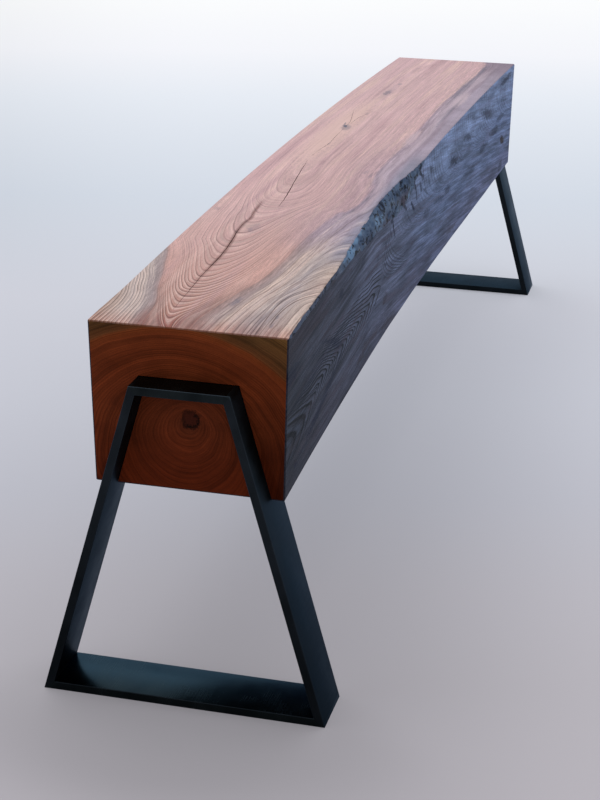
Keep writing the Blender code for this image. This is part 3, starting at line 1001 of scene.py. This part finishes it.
    # the wood darkens by the long crack
    byCrack = abs(across - curveAlong(along, topFigure["crackPath"]))
    byCrack = fall(byCrack, 0.0008, 0.0045) * between(along, 0.06, 0.3, 0.5, 0.56) * 0.9
    colour = blend(byCrack, colour, topTones["crackHalo"], "MULTIPLY")

    # pale washes, a painted sheen, and knots and bruises, with a ragged outline
    ragged = raggedEdge(straight, topFigure)
    for spots, tone in (("washes", "lightMauve"), ("paintedSheens", "peach"), ("knots", "bruise")):
        colour = blend(addSpots(along, across, ragged, topTones[spots]), colour, topTones[tone])
    colour = blend(rise(along, 0.0004, 0.0018, 0.7, 0.0), colour, topTones["arris"])
    height = grain["Fine"] - grain["Pore"] * 1.5 - rings["Line"] * 0.6
    setShader(shader, Base_Color=colour, Roughness=rise(rings["Streak"], 0.3, 0.7, 0.46, 0.38),
              Specular_IOR_Level=0.2, Normal=bumpFrom(height, 0.00008, 0.5))
    return material


# The weathered sides. Their blue-grey is partly weathering and partly painted bluish light. Painted sheen
# makes them lighter and bluer towards the far end and the top, and they are darker towards the bottom. The
# flames of the grain stand on an axis near mid-height.

sideFigure = dict(
    driftSize=(0.1, 0.05, 0.025),
    drift=0.003,
    raggedSize=(0.012, 0.004, 0.004),
    raggedness=1.8,
    leanFrom=0.5,  # past there the fine grain climbs
    leanBy=0.11,
    axis=[(0, 0.317), (0.05, 0.3187), (0.1, 0.322), (0.133, 0.3277), (0.167, 0.3353), (0.2, 0.3387),
          (0.233, 0.338), (0.45, 0.337), (0.5, 0.342), (0.572, 0.342)],
    count=[(0, -0.1), (0.007, 0), (0.052, 1), (0.1, 2), (0.133, 3), (0.152, 4), (0.16, 5), (0.17, 6),
           (0.193, 7), (0.213, 8), (0.232, 9), (0.248, 10), (0.262, 11), (0.28, 12), (0.31, 13), (0.333, 14),
           (0.352, 15), (0.37, 16), (0.383, 17), (0.405, 18), (0.428, 19), (0.448, 20), (0.477, 21),
           (0.51, 22), (0.572, 23.5), (0.7, 26.5), (0.9, 31)],
    upRound=[(0, 0.01), (0.07, 0.009), (0.12, 0.005), (0.7, 0.004)],
    downRound=0.003,
    # metres along for each metre up, at the tip
    upSlope=[(0, 2.2), (0.12, 2.4), (0.2, 3.6), (0.3, 4.8), (0.7, 5.2)],
    upGrowth=48.0,  # and how fast it grows away from there
    downSlope=1.9,
    downGrowth=45.0,
    lineWidth=[(0, 0.46), (0.1, 0.42), (0.16, 0.4), (0.45, 0.42), (0.7, 0.4)],
    # elbows: where the family starts along and up, how its floor tilts, line spacing, first and last line
    elbows=[(0.53, 0.342, -0.15, 0.006, 0.028, 0.058, 0.75)],
    fall=0.0055,  # past there strands drop steeply from the top and run out level at the floor
    fallFloor=0.333,
    fallLeast=0.012,
    fallSpacing=0.018,
)

# Strokes and knots as (along, up, half length, half width, tilt, strength)
sideTones = dict(
    # along the beam these, and the low and purple colours, grow lighter and bluer towards the far end:
    # painted sheen
    base=[(0, (46, 50, 60)), (0.2, (63, 67, 82)), (0.55, (89, 97, 122)), (1, (98, 114, 149)),
          (1.715, (103, 120, 158))],
    low=[(0, (44, 41, 51)), (0.3, (56, 51, 64)), (1, (76, 68, 90)), (1.715, (86, 78, 108))],
    # painted sheen over the top of the far part, and also the pale of the elbow lines
    high=(136, 156, 196),
    lineTint=(10, 14, 24),
    pale=(106, 120, 146),
    stroke=(10, 18, 46),
    purple=[(0, (56, 50, 58)), (0.3, (66, 58, 72)), (1, (84, 78, 102)), (1.715, (96, 92, 124))],
    umber=(44, 32, 34),
    corner=(50, 43, 51),
    strokes=[(0.283, 0.412, 0.014, 0.006, 0, 0.7), (0.05, 0.282, 0.009, 0.004, -0.1, 0.9),
             (0.42, 0.414, 0.018, 0.007, 0.3, 0.45), (0.02, 0.4, 0.04, 0.012, 0, 0.6),
             (0.24, 0.366, 0.075, 0.005, -0.32, 0.7), (0.27, 0.352, 0.04, 0.007, -0.3, 0.7),
             (0.19, 0.306, 0.12, 0.008, 0.2, 0.8), (0.29, 0.327, 0.03, 0.006, 0.25, 0.55),
             (0.455, 0.305, 0.025, 0.006, 0.2, 0.4), (0.16, 0.362, 0.15, 0.008, 0.02, 0.35),
             (0.612, 0.417, 0.016, 0.005, -0.35, 1), (0.624, 0.405, 0.012, 0.006, -1.3, 1.1),
             (0.634, 0.393, 0.008, 0.005, -1, 1), (0.608, 0.4, 0.01, 0.004, -0.9, 0.6),
             (0.52, 0.388, 0.008, 0.01, 0, 0.3), (0.572, 0.392, 0.012, 0.006, -0.4, 0.35),
             (0.704, 0.414, 0.024, 0.005, -0.48, 1), (0.69, 0.42, 0.01, 0.004, -0.3, 0.8),
             (0.772, 0.397, 0.019, 0.0045, -0.6, 1.1), (0.76, 0.405, 0.008, 0.004, -0.2, 0.8),
             (0.781, 0.426, 0.022, 0.0055, -0.75, 1), (0.797, 0.408, 0.008, 0.007, -1.3, 0.9),
             (0.826, 0.433, 0.028, 0.0045, -0.48, 1.1), (0.846, 0.423, 0.008, 0.005, 0.4, 0.8),
             (0.831, 0.412, 0.012, 0.008, -0.7, 0.9), (0.914, 0.42, 0.014, 0.006, -0.3, 0.8),
             (0.745, 0.386, 0.026, 0.003, -0.55, 0.6), (0.87, 0.396, 0.03, 0.003, -0.45, 0.6),
             (0.64, 0.352, 0.05, 0.003, -0.14, 0.6), (0.672, 0.345, 0.045, 0.003, -0.22, 0.55),
             (0.6, 0.357, 0.045, 0.003, -0.3, 0.5), (0.76, 0.338, 0.06, 0.004, -0.05, 0.5),
             (1.118, 0.388, 0.044, 0.009, -0.2, 0.9), (0.892, 0.355, 0.034, 0.009, -0.12, 0.65),
             (1.005, 0.35, 0.06, 0.006, -0.1, 0.6), (1.07, 0.351, 0.034, 0.009, -0.12, 0.75),
             (1.25, 0.401, 0.046, 0.008, -0.16, 0.8), (1.235, 0.333, 0.075, 0.008, -0.05, 0.6),
             (1.435, 0.405, 0.066, 0.011, -0.2, 0.75), (1.32, 0.42, 0.06, 0.004, -0.15, 0.4),
             (1.62, 0.435, 0.07, 0.007, 0.02, 0.8), (1.415, 0.348, 0.055, 0.007, 0, 0.65),
             (1.525, 0.356, 0.055, 0.01, -0.04, 0.75), (1.58, 0.37, 0.055, 0.007, -0.02, 0.65),
             (1.62, 0.27, 0.024, 0.013, 0, 0.7), (1.306, 0.331, 0.04, 0.009, 0, 0.6),
             (1.44, 0.328, 0.11, 0.005, -0.03, 0.45), (1.64, 0.348, 0.06, 0.008, -0.1, 0.5),
             (0.985, 0.372, 0.05, 0.006, -0.22, 0.45), (1.19, 0.375, 0.07, 0.006, -0.14, 0.4),
             (1.15, 0.325, 0.12, 0.012, -0.04, 0.35)],
    umberSpots=[(1.622, 0.32, 0.028, 0.01, -0.3, 1), (0.583, 0.313, 0.022, 0.009, 0, 0.55),
                (0.62, 0.267, 0.07, 0.009, -0.1, 0.55), (0.425, 0.278, 0.03, 0.006, 0, 0.6),
                (0.45, 0.288, 0.02, 0.008, 0, 0.4), (0.52, 0.283, 0.04, 0.008, 0, 0.3),
                (0.155, 0.421, 0.06, 0.006, 0, 0.4), (0.235, 0.441, 0.02, 0.004, 0, 0.5),
                (0.05, 0.284, 0.008, 0.004, 0, 0.8), (1.12, 0.3, 0.08, 0.01, 0, 0.3),
                (1.35, 0.275, 0.06, 0.008, 0, 0.3), (1.12, 0.272, 0.06, 0.006, -0.1, 0.5)],
)


def makeWeatheredSideWithPaintedSheen():
    material, place, shader = newMaterial("weatheredSideWithPaintedSheen")
    where = useGroup(beamPlace, Place=place)
    along, up, straight = where["Along"], where["Up"], where["Straight"]
    wavy = drifted(up, straight, sideFigure)

    axis = curveAlong(along, sideFigure["axis"])
    above = larger(wavy - axis, 0.0)
    below = larger(axis - wavy, 0.0)
    upRound = curveAlong(along, sideFigure["upRound"])

    # how far on a strand's tip is: rounded at the axis, flatter further out
    def bend(away, radius, slope, growth):
        square = away * away
        rounded = calc("SQRT", square + radius * radius)
        return square * growth + (rounded - radius) * slope

    upSlope = curveAlong(along, sideFigure["upSlope"])
    tip = along + bend(above, upRound, upSlope, sideFigure["upGrowth"])
    tip += bend(below, sideFigure["downRound"], sideFigure["downSlope"], sideFigure["downGrowth"])
    count = curveAlong(tip, sideFigure["count"])
    flames = useGroup(yearRings, Count=count, Along=along, Wobble=0.04,
                      Sharpness=curveAlong(along, sideFigure["lineWidth"]))
    fade = rise(above, 0.014, 0.048, 1.0, 0.15) * rise(below, 0.004, 0.024, 1.0, 0.18)
    fade *= between(along, 0.001, 0.005, 0.48, 0.58)

    # elbows of grain under and past the bark edge
    line = rise(flames["Line"] * fade, 0.06, 0.34)
    elbowPale = 0.0
    for start, floor, tilt, spacing, first, last, strength in sideFigure["elbows"]:
        run = larger(along - start, 0.0)
        lift = larger(wavy - (run * tilt + floor), 0.0)
        elbow = calc("SQRT", run * lift)
        lines = useGroup(yearRings, Count=elbow / spacing, Along=along, Wobble=0.3, Sharpness=0.4)
        inside = between(elbow, first * 0.7, first, last, last * 1.3)
        inside *= rise(run, last * 4.5, last * 2.5, 0.0, strength)
        line = larger(line, lines["Line"] * inside)
        elbowPale = larger(elbowPale, lines["Pale"] * inside)

    lean = larger(along - sideFigure["leanFrom"], 0.0) * sideFigure["leanBy"]
    leaned = vectorCalc("ADD", straight, addNode("CombineXYZ", {2: lean}))
    grain = useGroup(fibres, Place=leaned)
    overFloor = larger(wavy - sideFigure["fallFloor"], sideFigure["fallLeast"])
    flow = along - sideFigure["fall"] / overFloor
    strands = useGroup(yearRings, Count=flow / sideFigure["fallSpacing"], Along=up, Wobble=0.5,
                       Sharpness=0.35)
    inFall = rise(along, 0.56, 0.7) * rise(up, 0.345, 0.368)
    here = rise(grainNoise(straight, (0.1, 0.03, 0.03), detail=2.0), 0.4, 0.62)
    line = larger(line, strands["Line"] * inFall * here * 0.5)

    # painted sheen: lighter and bluer towards the far end
    colour = colourAlong(along, sideTones["base"])
    low = colourAlong(along, sideTones["low"])
    # darker and browner towards the bottom
    colour = blend(rise(up, 0.33, 0.265) * 0.45, colour, low)
    # painted sheen: lighter and bluer towards the top of the far part
    paintedSheenUp = rise(up, 0.355, 0.43) * rise(along, 0.55, 1.0)
    colour = blend(paintedSheenUp * 0.72, colour, sideTones["high"])
    nearTop = rise(up, 0.4, 0.44) * fall(along, 0.08, 0.3)
    colour = blend(nearTop * 0.5, colour, sideTones["corner"])
    colour = blend(flames["Pale"] * fade * 0.2, colour, sideTones["pale"])
    colour = blend(elbowPale * 0.25, colour, sideTones["high"])
    colour = blend(line, colour, sideTones["lineTint"], "MULTIPLY")
    level = rise(grain["Streak"], 0.34, 0.66, 0.72, 1.24)
    dropping = product((strands["Streak"], 0.25, 0.75, 0.82, 1.18), (strands["Fine"], 0.25, 0.75, 0.88, 1.12))
    patch = grainNoise(leaned, (0.12, 0.05, 0.014), detail=4.0, roughness=0.6)
    strand = grainNoise(leaned, (0.1, 0.0022, 0.0022), detail=2.0, roughness=0.7)
    shade = product((patch, 0.28, 0.72, 0.55, 1.42), (strand, 0.34, 0.66, 0.84, 1.14),
                    (grain["Fine"], 0.34, 0.66, 0.84, 1.12), (grain["Speck"], 0.3, 0.7, 0.88, 1.1))
    colour = scaleColour(colour, shade * mixed(inFall, level, dropping))
    purple = grainNoise(leaned, (0.13, 0.05, 0.009), detail=4.0, roughness=0.6)
    purple = rise(purple, 0.5, 0.64) * rise(along, 0.3, 1.2, 0.55, 0.3)
    colour = blend(purple, colour, colourAlong(along, sideTones["purple"]))

    ragged = raggedEdge(straight, sideFigure)
    colour = blend(addSpots(along, up, ragged, sideTones["umberSpots"]), colour, sideTones["umber"])
    stroke = addSpots(along, up, ragged, sideTones["strokes"])
    colour = blend(stroke * 0.85, colour, sideTones["stroke"])
    colour = blend(grain["Pore"] * 0.4, colour, sideTones["stroke"])
    height = grain["Fine"] - grain["Pore"] * 1.5 - line * 0.8
    setShader(shader, Base_Color=colour, Roughness=rise(grain["Streak"], 0.3, 0.7, 0.55, 0.48),
              Specular_IOR_Level=0.02, Sheen_Weight=0.05, Sheen_Roughness=0.35,
              Sheen_Tint=(0.45, 0.65, 1.0, 1.0), Normal=bumpFrom(height, 0.00015, 0.6))
    return material


# The end grain: rings about the pith, packed closer above it than below

endFigure = dict(
    driftSize=(0.05, 0.05, 0.05),
    drift=0.012,
    pith=(-0.0015, 0.3445),  # across, up
    lean=(0.22, -0.975),  # the way the rings grow wider
    eccentricity=0.464,
    spacing=0.0042,
    turnLength=0.06,  # metres of grain for each radian round the pith
    # painted shade towards the front edge, where less light falls
    paintedFrontShade=(0.27, 0.46, 0.5, 1.05),  # up, and how dark the front edge is there
)

endTones = dict(
    tone=[(0, (92, 44, 26)), (0.02, (112, 50, 26)), (0.08, (118, 52, 26)), (0.14, (112, 48, 22)),
          (0.175, (120, 54, 26)), (0.188, (134, 64, 30)), (0.196, (104, 62, 34)), (0.215, (96, 64, 36)),
          (0.26, (112, 80, 44))],
    line=(46, 18, 8),
    pale=(150, 74, 36),
    # painted shade towards the bottom
    low=(226, 190, 160),
    pith=(20, 9, 6),
    pithHeart=(64, 26, 17),
)


def makeEndGrain():
    material, place, shader = newMaterial("endGrain")
    where = useGroup(beamPlace, Place=place)
    across, up, straight = where["Across"], where["Up"], where["Straight"]
    qy = drifted(across, straight, endFigure) - endFigure["pith"][0]
    qz = up - endFigure["pith"][1]
    k = endFigure["eccentricity"]
    lean = qy * endFigure["lean"][0] * k + qz * endFigure["lean"][1] * k
    square = qy * qy + qz * qz
    root = calc("SQRT", lean * lean + square * (1 - k * k))
    radius = (root - lean) / (1 - k * k)
    rings = useGroup(yearRings, Count=radius / endFigure["spacing"], Wobble=0.25, Sharpness=0.45,
                     Along=calc("ARCTAN2", qz, qy) * endFigure["turnLength"])

    colour = colourAlong(radius, endTones["tone"])
    broad = grainNoise(vectorCalc("MULTIPLY", straight, (0.0, 1.0, 1.0)), (1.0, 0.05, 0.03), detail=3.0)
    band = addNode("TexNoise", {"W": radius * 60.0, "Scale": 1.0, "Detail": 2.0}, noise_dimensions="1D")
    colour = blend(0.8, colour, ramp(band, [(0.3, 0.6), (0.55, 1.0), (0.7, 1.15)]), "MULTIPLY")
    colour = blend(0.8, colour, ramp(broad, [(0.3, 0.74), (0.6, 1.05)]), "MULTIPLY")
    uneven = rise(broad, 0.35, 0.65, 0.05, 0.26) * rise(radius, 0.02, 0.1, 0.3, 1.0)
    # painted shade: darker and warmer towards the bottom
    paintedShadeLow = rise(up, 0.36, 0.27, 0.0, 0.68)
    colour = blend(rings["Line"] * uneven, colour, endTones["line"])
    colour = scaleColour(colour, rise(rings["Streak"], 0.25, 0.75, 0.68, 1.22))
    colour = scaleColour(colour, rise(rings["Fine"], 0.25, 0.75, 0.82, 1.14))
    colour = blend(rings["Pale"] * uneven * 0.6, colour, endTones["pale"])
    speck = grainNoise(straight, (0.0012, 0.0012, 0.0012), detail=2.0)
    colour = blend(0.5, colour, ramp(speck, [(0.35, 0.8), (0.62, 1.06)]), "MULTIPLY")
    colour = blend(paintedShadeLow, colour, endTones["low"], "MULTIPLY")
    # painted shade: darker towards the front edge, where less light falls
    paintedShadeFront = mixed(rise(across, -0.07, -0.1), 1.0, rise(up, *endFigure["paintedFrontShade"]))
    colour = scaleColour(colour, paintedShadeFront)

    # the pith: a ragged dark ring about a red heart
    blotch = grainNoise(straight, (0.005, 0.005, 0.005), detail=4.0, roughness=0.75) - 0.5
    away = blotch * 0.02 + calc("SQRT", square)
    colour = blend(rise(away, 0.007, 0.013, 0.85, 0.0), colour, endTones["pithHeart"])
    ring = between(away, 0.006, 0.009, 0.01, 0.013)
    ring = larger(ring, rise(away, 0.0, 0.003, 0.7, 0.0))
    patchy = rise(grainNoise(straight, (0.005, 0.005, 0.005), detail=2.0), 0.38, 0.56, 0.6, 1.0)
    patchy *= rise(qy + qz, 0.007, -0.005, 0.55, 1.0)
    colour = blend(ring * patchy, colour, endTones["pith"])
    setShader(shader, Base_Color=colour, Roughness=rise(speck, 0.3, 0.7, 0.45, 0.6),
              Specular_IOR_Level=0.04, Normal=bumpFrom(speck - rings["Line"], 0.0001, 0.5))
    return material


# The bark edge, rough and blue-grey

barkTones = dict(
    deep=(10, 16, 28),
    mid=(62, 80, 108),
    light=(82, 104, 132),
    patch=(112, 146, 182),
    brown=(66, 60, 76),
    near=(74, 76, 92),
)


def makeBarkEdge():
    material, place, shader = newMaterial("barkEdge")
    where = useGroup(beamPlace, Place=place)
    straight = where["Straight"]
    flake = grainNoise(straight, (0.04, 0.018, 0.014), detail=4.0, roughness=0.65, twist=0.6)
    fleck = grainNoise(straight, (0.012, 0.007, 0.007), detail=2.0, twist=0.5)
    colour = ramp(flake, [(0.32, barkTones["deep"]), (0.44, barkTones["mid"]), (0.66, barkTones["light"])])
    bright = grainNoise(straight, (0.07, 0.03, 0.024), detail=2.0)
    colour = blend(rise(bright, 0.56, 0.66, 0.0, 0.75), colour, barkTones["patch"])
    brown = grainNoise(straight, (0.06, 0.03, 0.02), detail=2.0)
    lower = rise(where["Up"], 0.44, 0.424)
    colour = blend(lower * rise(brown, 0.46, 0.58, 0.0, 0.85), colour, barkTones["brown"])
    colour = blend(rise(where["Along"], 0.22, 0.34, 0.55, 0.0), colour, barkTones["near"])
    colour = blend(rise(fleck, 0.54, 0.61, 0.0, 0.9), colour, barkTones["deep"])
    setShader(shader, Base_Color=colour, Roughness=rise(flake, 0.3, 0.7, 0.75, 0.5), Specular_IOR_Level=0.1,
              Normal=bumpFrom(flake - fleck * 0.7, 0.0012, 0.8))
    return material


# Wood cut inside the beam: groove and hole walls, and the dark walls of cracks
def makeInnerWood(name, light, dark, roughness):
    material, place, shader = newMaterial(name)
    where = useGroup(beamPlace, Place=place)
    grain = useGroup(fibres, Place=where["Straight"])
    colour = ramp(grain["Streak"], [(0.3, dark), (0.7, light)])
    colour = blend(grain["Pore"] * 0.5, colour, dark)
    setShader(shader, Base_Color=colour, Roughness=roughness, Normal=bumpFrom(grain["Fine"], 0.0002, 0.5))
    return material


# Steel finishes: cloudy film, drawn scratches along the bar, and fine dust


def makeSteelFilm():
    group, (place,) = openGroup("steelFilm", Place=None)
    cloud = grainNoise(place, (0.05, 0.04, 0.06), detail=4.0, roughness=0.6)
    scratch = grainNoise(place, (0.06, 0.0012, 0.0016), detail=3.0)
    grit = grainNoise(place, (0.0008, 0.0008, 0.0008), detail=2.0)
    return closeGroup(group, Cloud=cloud, Scratch=scratch, Grit=grit)


steelFilm = makeSteelFilm()


def makeSteel(name, dark, light, roughness, metallic=0.0, gloss=0.5, sheen=(1.0, 1.0, 1.0)):
    material, place, shader = newMaterial(name)
    film = useGroup(steelFilm, Place=place)
    colour = ramp(film["Cloud"], [(0.32, dark), (0.68, light)])
    colour = blend(0.5, colour, ramp(film["Scratch"], [(0.35, 0.8), (0.65, 1.1)]), "MULTIPLY")
    # darker towards the floor
    lowDown = rise(splitPlace(place)[2], 0.0, 0.36, 0.5, 1.05)
    colour = scaleColour(colour, lowDown)
    low, high = roughness
    rough = rise(film["Cloud"], 0.3, 0.7, low, high) + (film["Scratch"] - 0.5) * 0.12
    setShader(shader, Base_Color=colour, Roughness=rough, Metallic=metallic, Specular_IOR_Level=gloss,
              Specular_Tint=(*sheen, 1.0), Normal=bumpFrom(film["Grit"] + film["Scratch"], 0.00004, 0.5))
    return material


# Finishes

finishes = dict(
    planedTop=makePlanedTop(),
    weatheredSideWithPaintedSheen=makeWeatheredSideWithPaintedSheen(),
    endGrain=makeEndGrain(),
    barkEdge=makeBarkEdge(),
    freshCut=makeInnerWood("freshCut", (120, 78, 58), (84, 50, 36), 0.7),
    crackWall=makeInnerWood("crackWall", (96, 56, 46), (62, 34, 28), 0.8),
)
makeBeam(finishes)
# Reflection tints: the blue stands in for bluish light around the frames, a painted reflection colour. The
# duller copy serves the legs, and the far frame's bars, where it is painted shade for the lesser light there.
blueSheen = (0.64, 0.82, 1.0)
dullSheen = (0.54, 0.63, 0.74)
steels = [makeSteel(*row[:4], 1.0, 0.5, row[4]) for row in (
    ("blackSteel", (28, 34, 36), (42, 50, 52), (0.20, 0.28), blueSheen),
    ("dullAndShadedBlackSteel", (30, 35, 38), (42, 48, 54), (0.40, 0.50), dullSheen),
    ("rubbedEdgeAndHighlight", (36, 42, 47), (50, 58, 65), (0.30, 0.40), dullSheen),
    ("groundCorner", (30, 35, 37), (44, 50, 54), (0.30, 0.40), dullSheen),
    ("groundCornerEdgeAndHighlight", (38, 45, 50), (52, 61, 68), (0.30, 0.40), dullSheen),
)]
makeFrames(*steels)

zincSteel = makeSteel("zincSteel", (150, 152, 156), (196, 197, 200), (0.28, 0.42), metallic=1.0)
for name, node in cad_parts.items():
    if name.endswith("lag_screw") or name.endswith("washer"):
        for holder in node.material_slots:
            holder.material = zincSteel
print("materials set")


# Floor, light and camera

studio = dict(
    floorSize=40.0,
    # the paper's tone with painted light: paler far off, darker towards the camera as the light falls off
    floorToneWithPaintedFalloff=[(1.55, (178, 173, 179)), (1.9, (181, 177, 183)), (2.15, (186, 183, 190)),
                (2.45, (190, 190, 199)), (2.85, (200, 201, 210)), (3.4, (210, 211, 220)),
                (4.2, (213, 219, 229)), (5.4, (232, 236, 243)), (6.2, (246, 246, 250)),
                (7.4, (253, 253, 253))],
    # part of the floor's brightness is a painted glow of its own colour, which lightens the object's shadow
    # on it
    floorPaint=0.66,
    floorPaintedGlow=0.36,
    # painted shade on the left of the floor, and painted light on the right
    leftward=(0.05, 0.26),
    leftFall=(2.6, 4.3, -0.045, 0.115),  # how much darker the floor is there, near and far
    rightward=(-0.03, -0.2),
    rightLift=(2.7, 3.6, 0.12, 0),
    inView=(1.0, 1.5),  # both begin at this distance
    # painted soft shadow before the near foot bar: x, y, half sizes, tilt, strength
    footPaintedShadow=[(-0.97, 0, 0.17, 0.3, 0, 0.17)],
    skyLight=(0.94, 0.97, 1),
    skyStrength=0.6,
    sunStrength=1.35,
    sunAngle=80.0,
    sunFrom=(0.45, 0.3, 1),
)

camera = dict(
    place=(-2.645, -0.5757, 1.0782),
    heading=14.095,  # degrees from +X towards +Y
    down=20.718,
    roll=0.817,
    lens=81.79,
)


def makeFloor():
    bm = bmesh.new()
    bmesh.ops.create_grid(bm, x_segments=1, y_segments=1, size=studio["floorSize"] / 2)
    material, place, shader = newMaterial("paperFloor")
    x, y = splitPlace(place)[:2]
    fromX, fromY = x - camera["place"][0], y - camera["place"][1]
    heading = math.radians(camera["heading"])
    ahead = fromX * math.cos(heading) + fromY * math.sin(heading)
    aside = fromY * math.cos(heading) - fromX * math.sin(heading)
    leftward = aside / larger(ahead, 0.5)  # 0 in the middle of the view
    colour = colourAlong(ahead, studio["floorToneWithPaintedFalloff"], "LINEAR")
    # painted shade on the left, painted light on the right, and a painted shadow before the near foot bar
    paintedShadeLeft = rise(leftward, *studio["leftward"]) * rise(ahead, *studio["leftFall"])
    paintedLightRight = rise(leftward, *studio["rightward"]) * rise(ahead, *studio["rightLift"])
    shade = (paintedShadeLeft - paintedLightRight) * rise(ahead, *studio["inView"]) + addSpots(x, y, 0.0, studio["footPaintedShadow"])
    colour = scaleColour(colour, 1.0 - shade)
    # painted glow: the floor gives off light of its own colour
    setShader(shader, Base_Color=scaleColour(colour, studio["floorPaint"]), Roughness=0.9,
              Emission_Color=colour, Emission_Strength=studio["floorPaintedGlow"], Specular_IOR_Level=0.1)
    floor = newObject("paperFloor", bm, [material])


def makeLight():
    world = bpy.data.worlds.new("studio")
    world.use_nodes = True
    tree = world.node_tree
    background = tree.nodes["Background"]
    background.inputs["Color"].default_value = (*studio["skyLight"], 1.0)
    background.inputs["Strength"].default_value = studio["skyStrength"]
    bpy.context.scene.world = world
    sun = bpy.data.lights.new("overheadSoftbox", "SUN")
    sun.energy = studio["sunStrength"]
    sun.angle = math.radians(studio["sunAngle"])
    lamp = bpy.data.objects.new("overheadSoftbox", sun)
    lamp.rotation_euler = Vector(studio["sunFrom"]).to_track_quat("Z", "Y").to_euler()
    bpy.context.collection.objects.link(lamp)


def makeCamera():
    heading, down, roll = [math.radians(camera[name]) for name in ("heading", "down", "roll")]
    forward = Vector((math.cos(heading) * math.cos(down), math.sin(heading) * math.cos(down),
                      -math.sin(down)))
    right = Vector((math.sin(heading), -math.cos(heading), 0))
    up = right.cross(forward)
    rolledRight = right * math.cos(roll) + up * math.sin(roll)
    rolledUp = up * math.cos(roll) - right * math.sin(roll)
    lens = bpy.data.cameras.new("photoView")
    lens.lens = camera["lens"]
    lens.sensor_width = 36.0
    eye = bpy.data.objects.new("photoView", lens)
    turn = Matrix((rolledRight, rolledUp, -forward)).transposed()
    eye.matrix_world = Matrix.Translation(camera["place"]) @ turn.to_4x4()
    bpy.context.collection.objects.link(eye)
    bpy.context.scene.camera = eye


makeFloor()
makeLight()
makeCamera()
bpy.context.scene.view_settings.view_transform = "Standard"
print("floor, light and camera set")
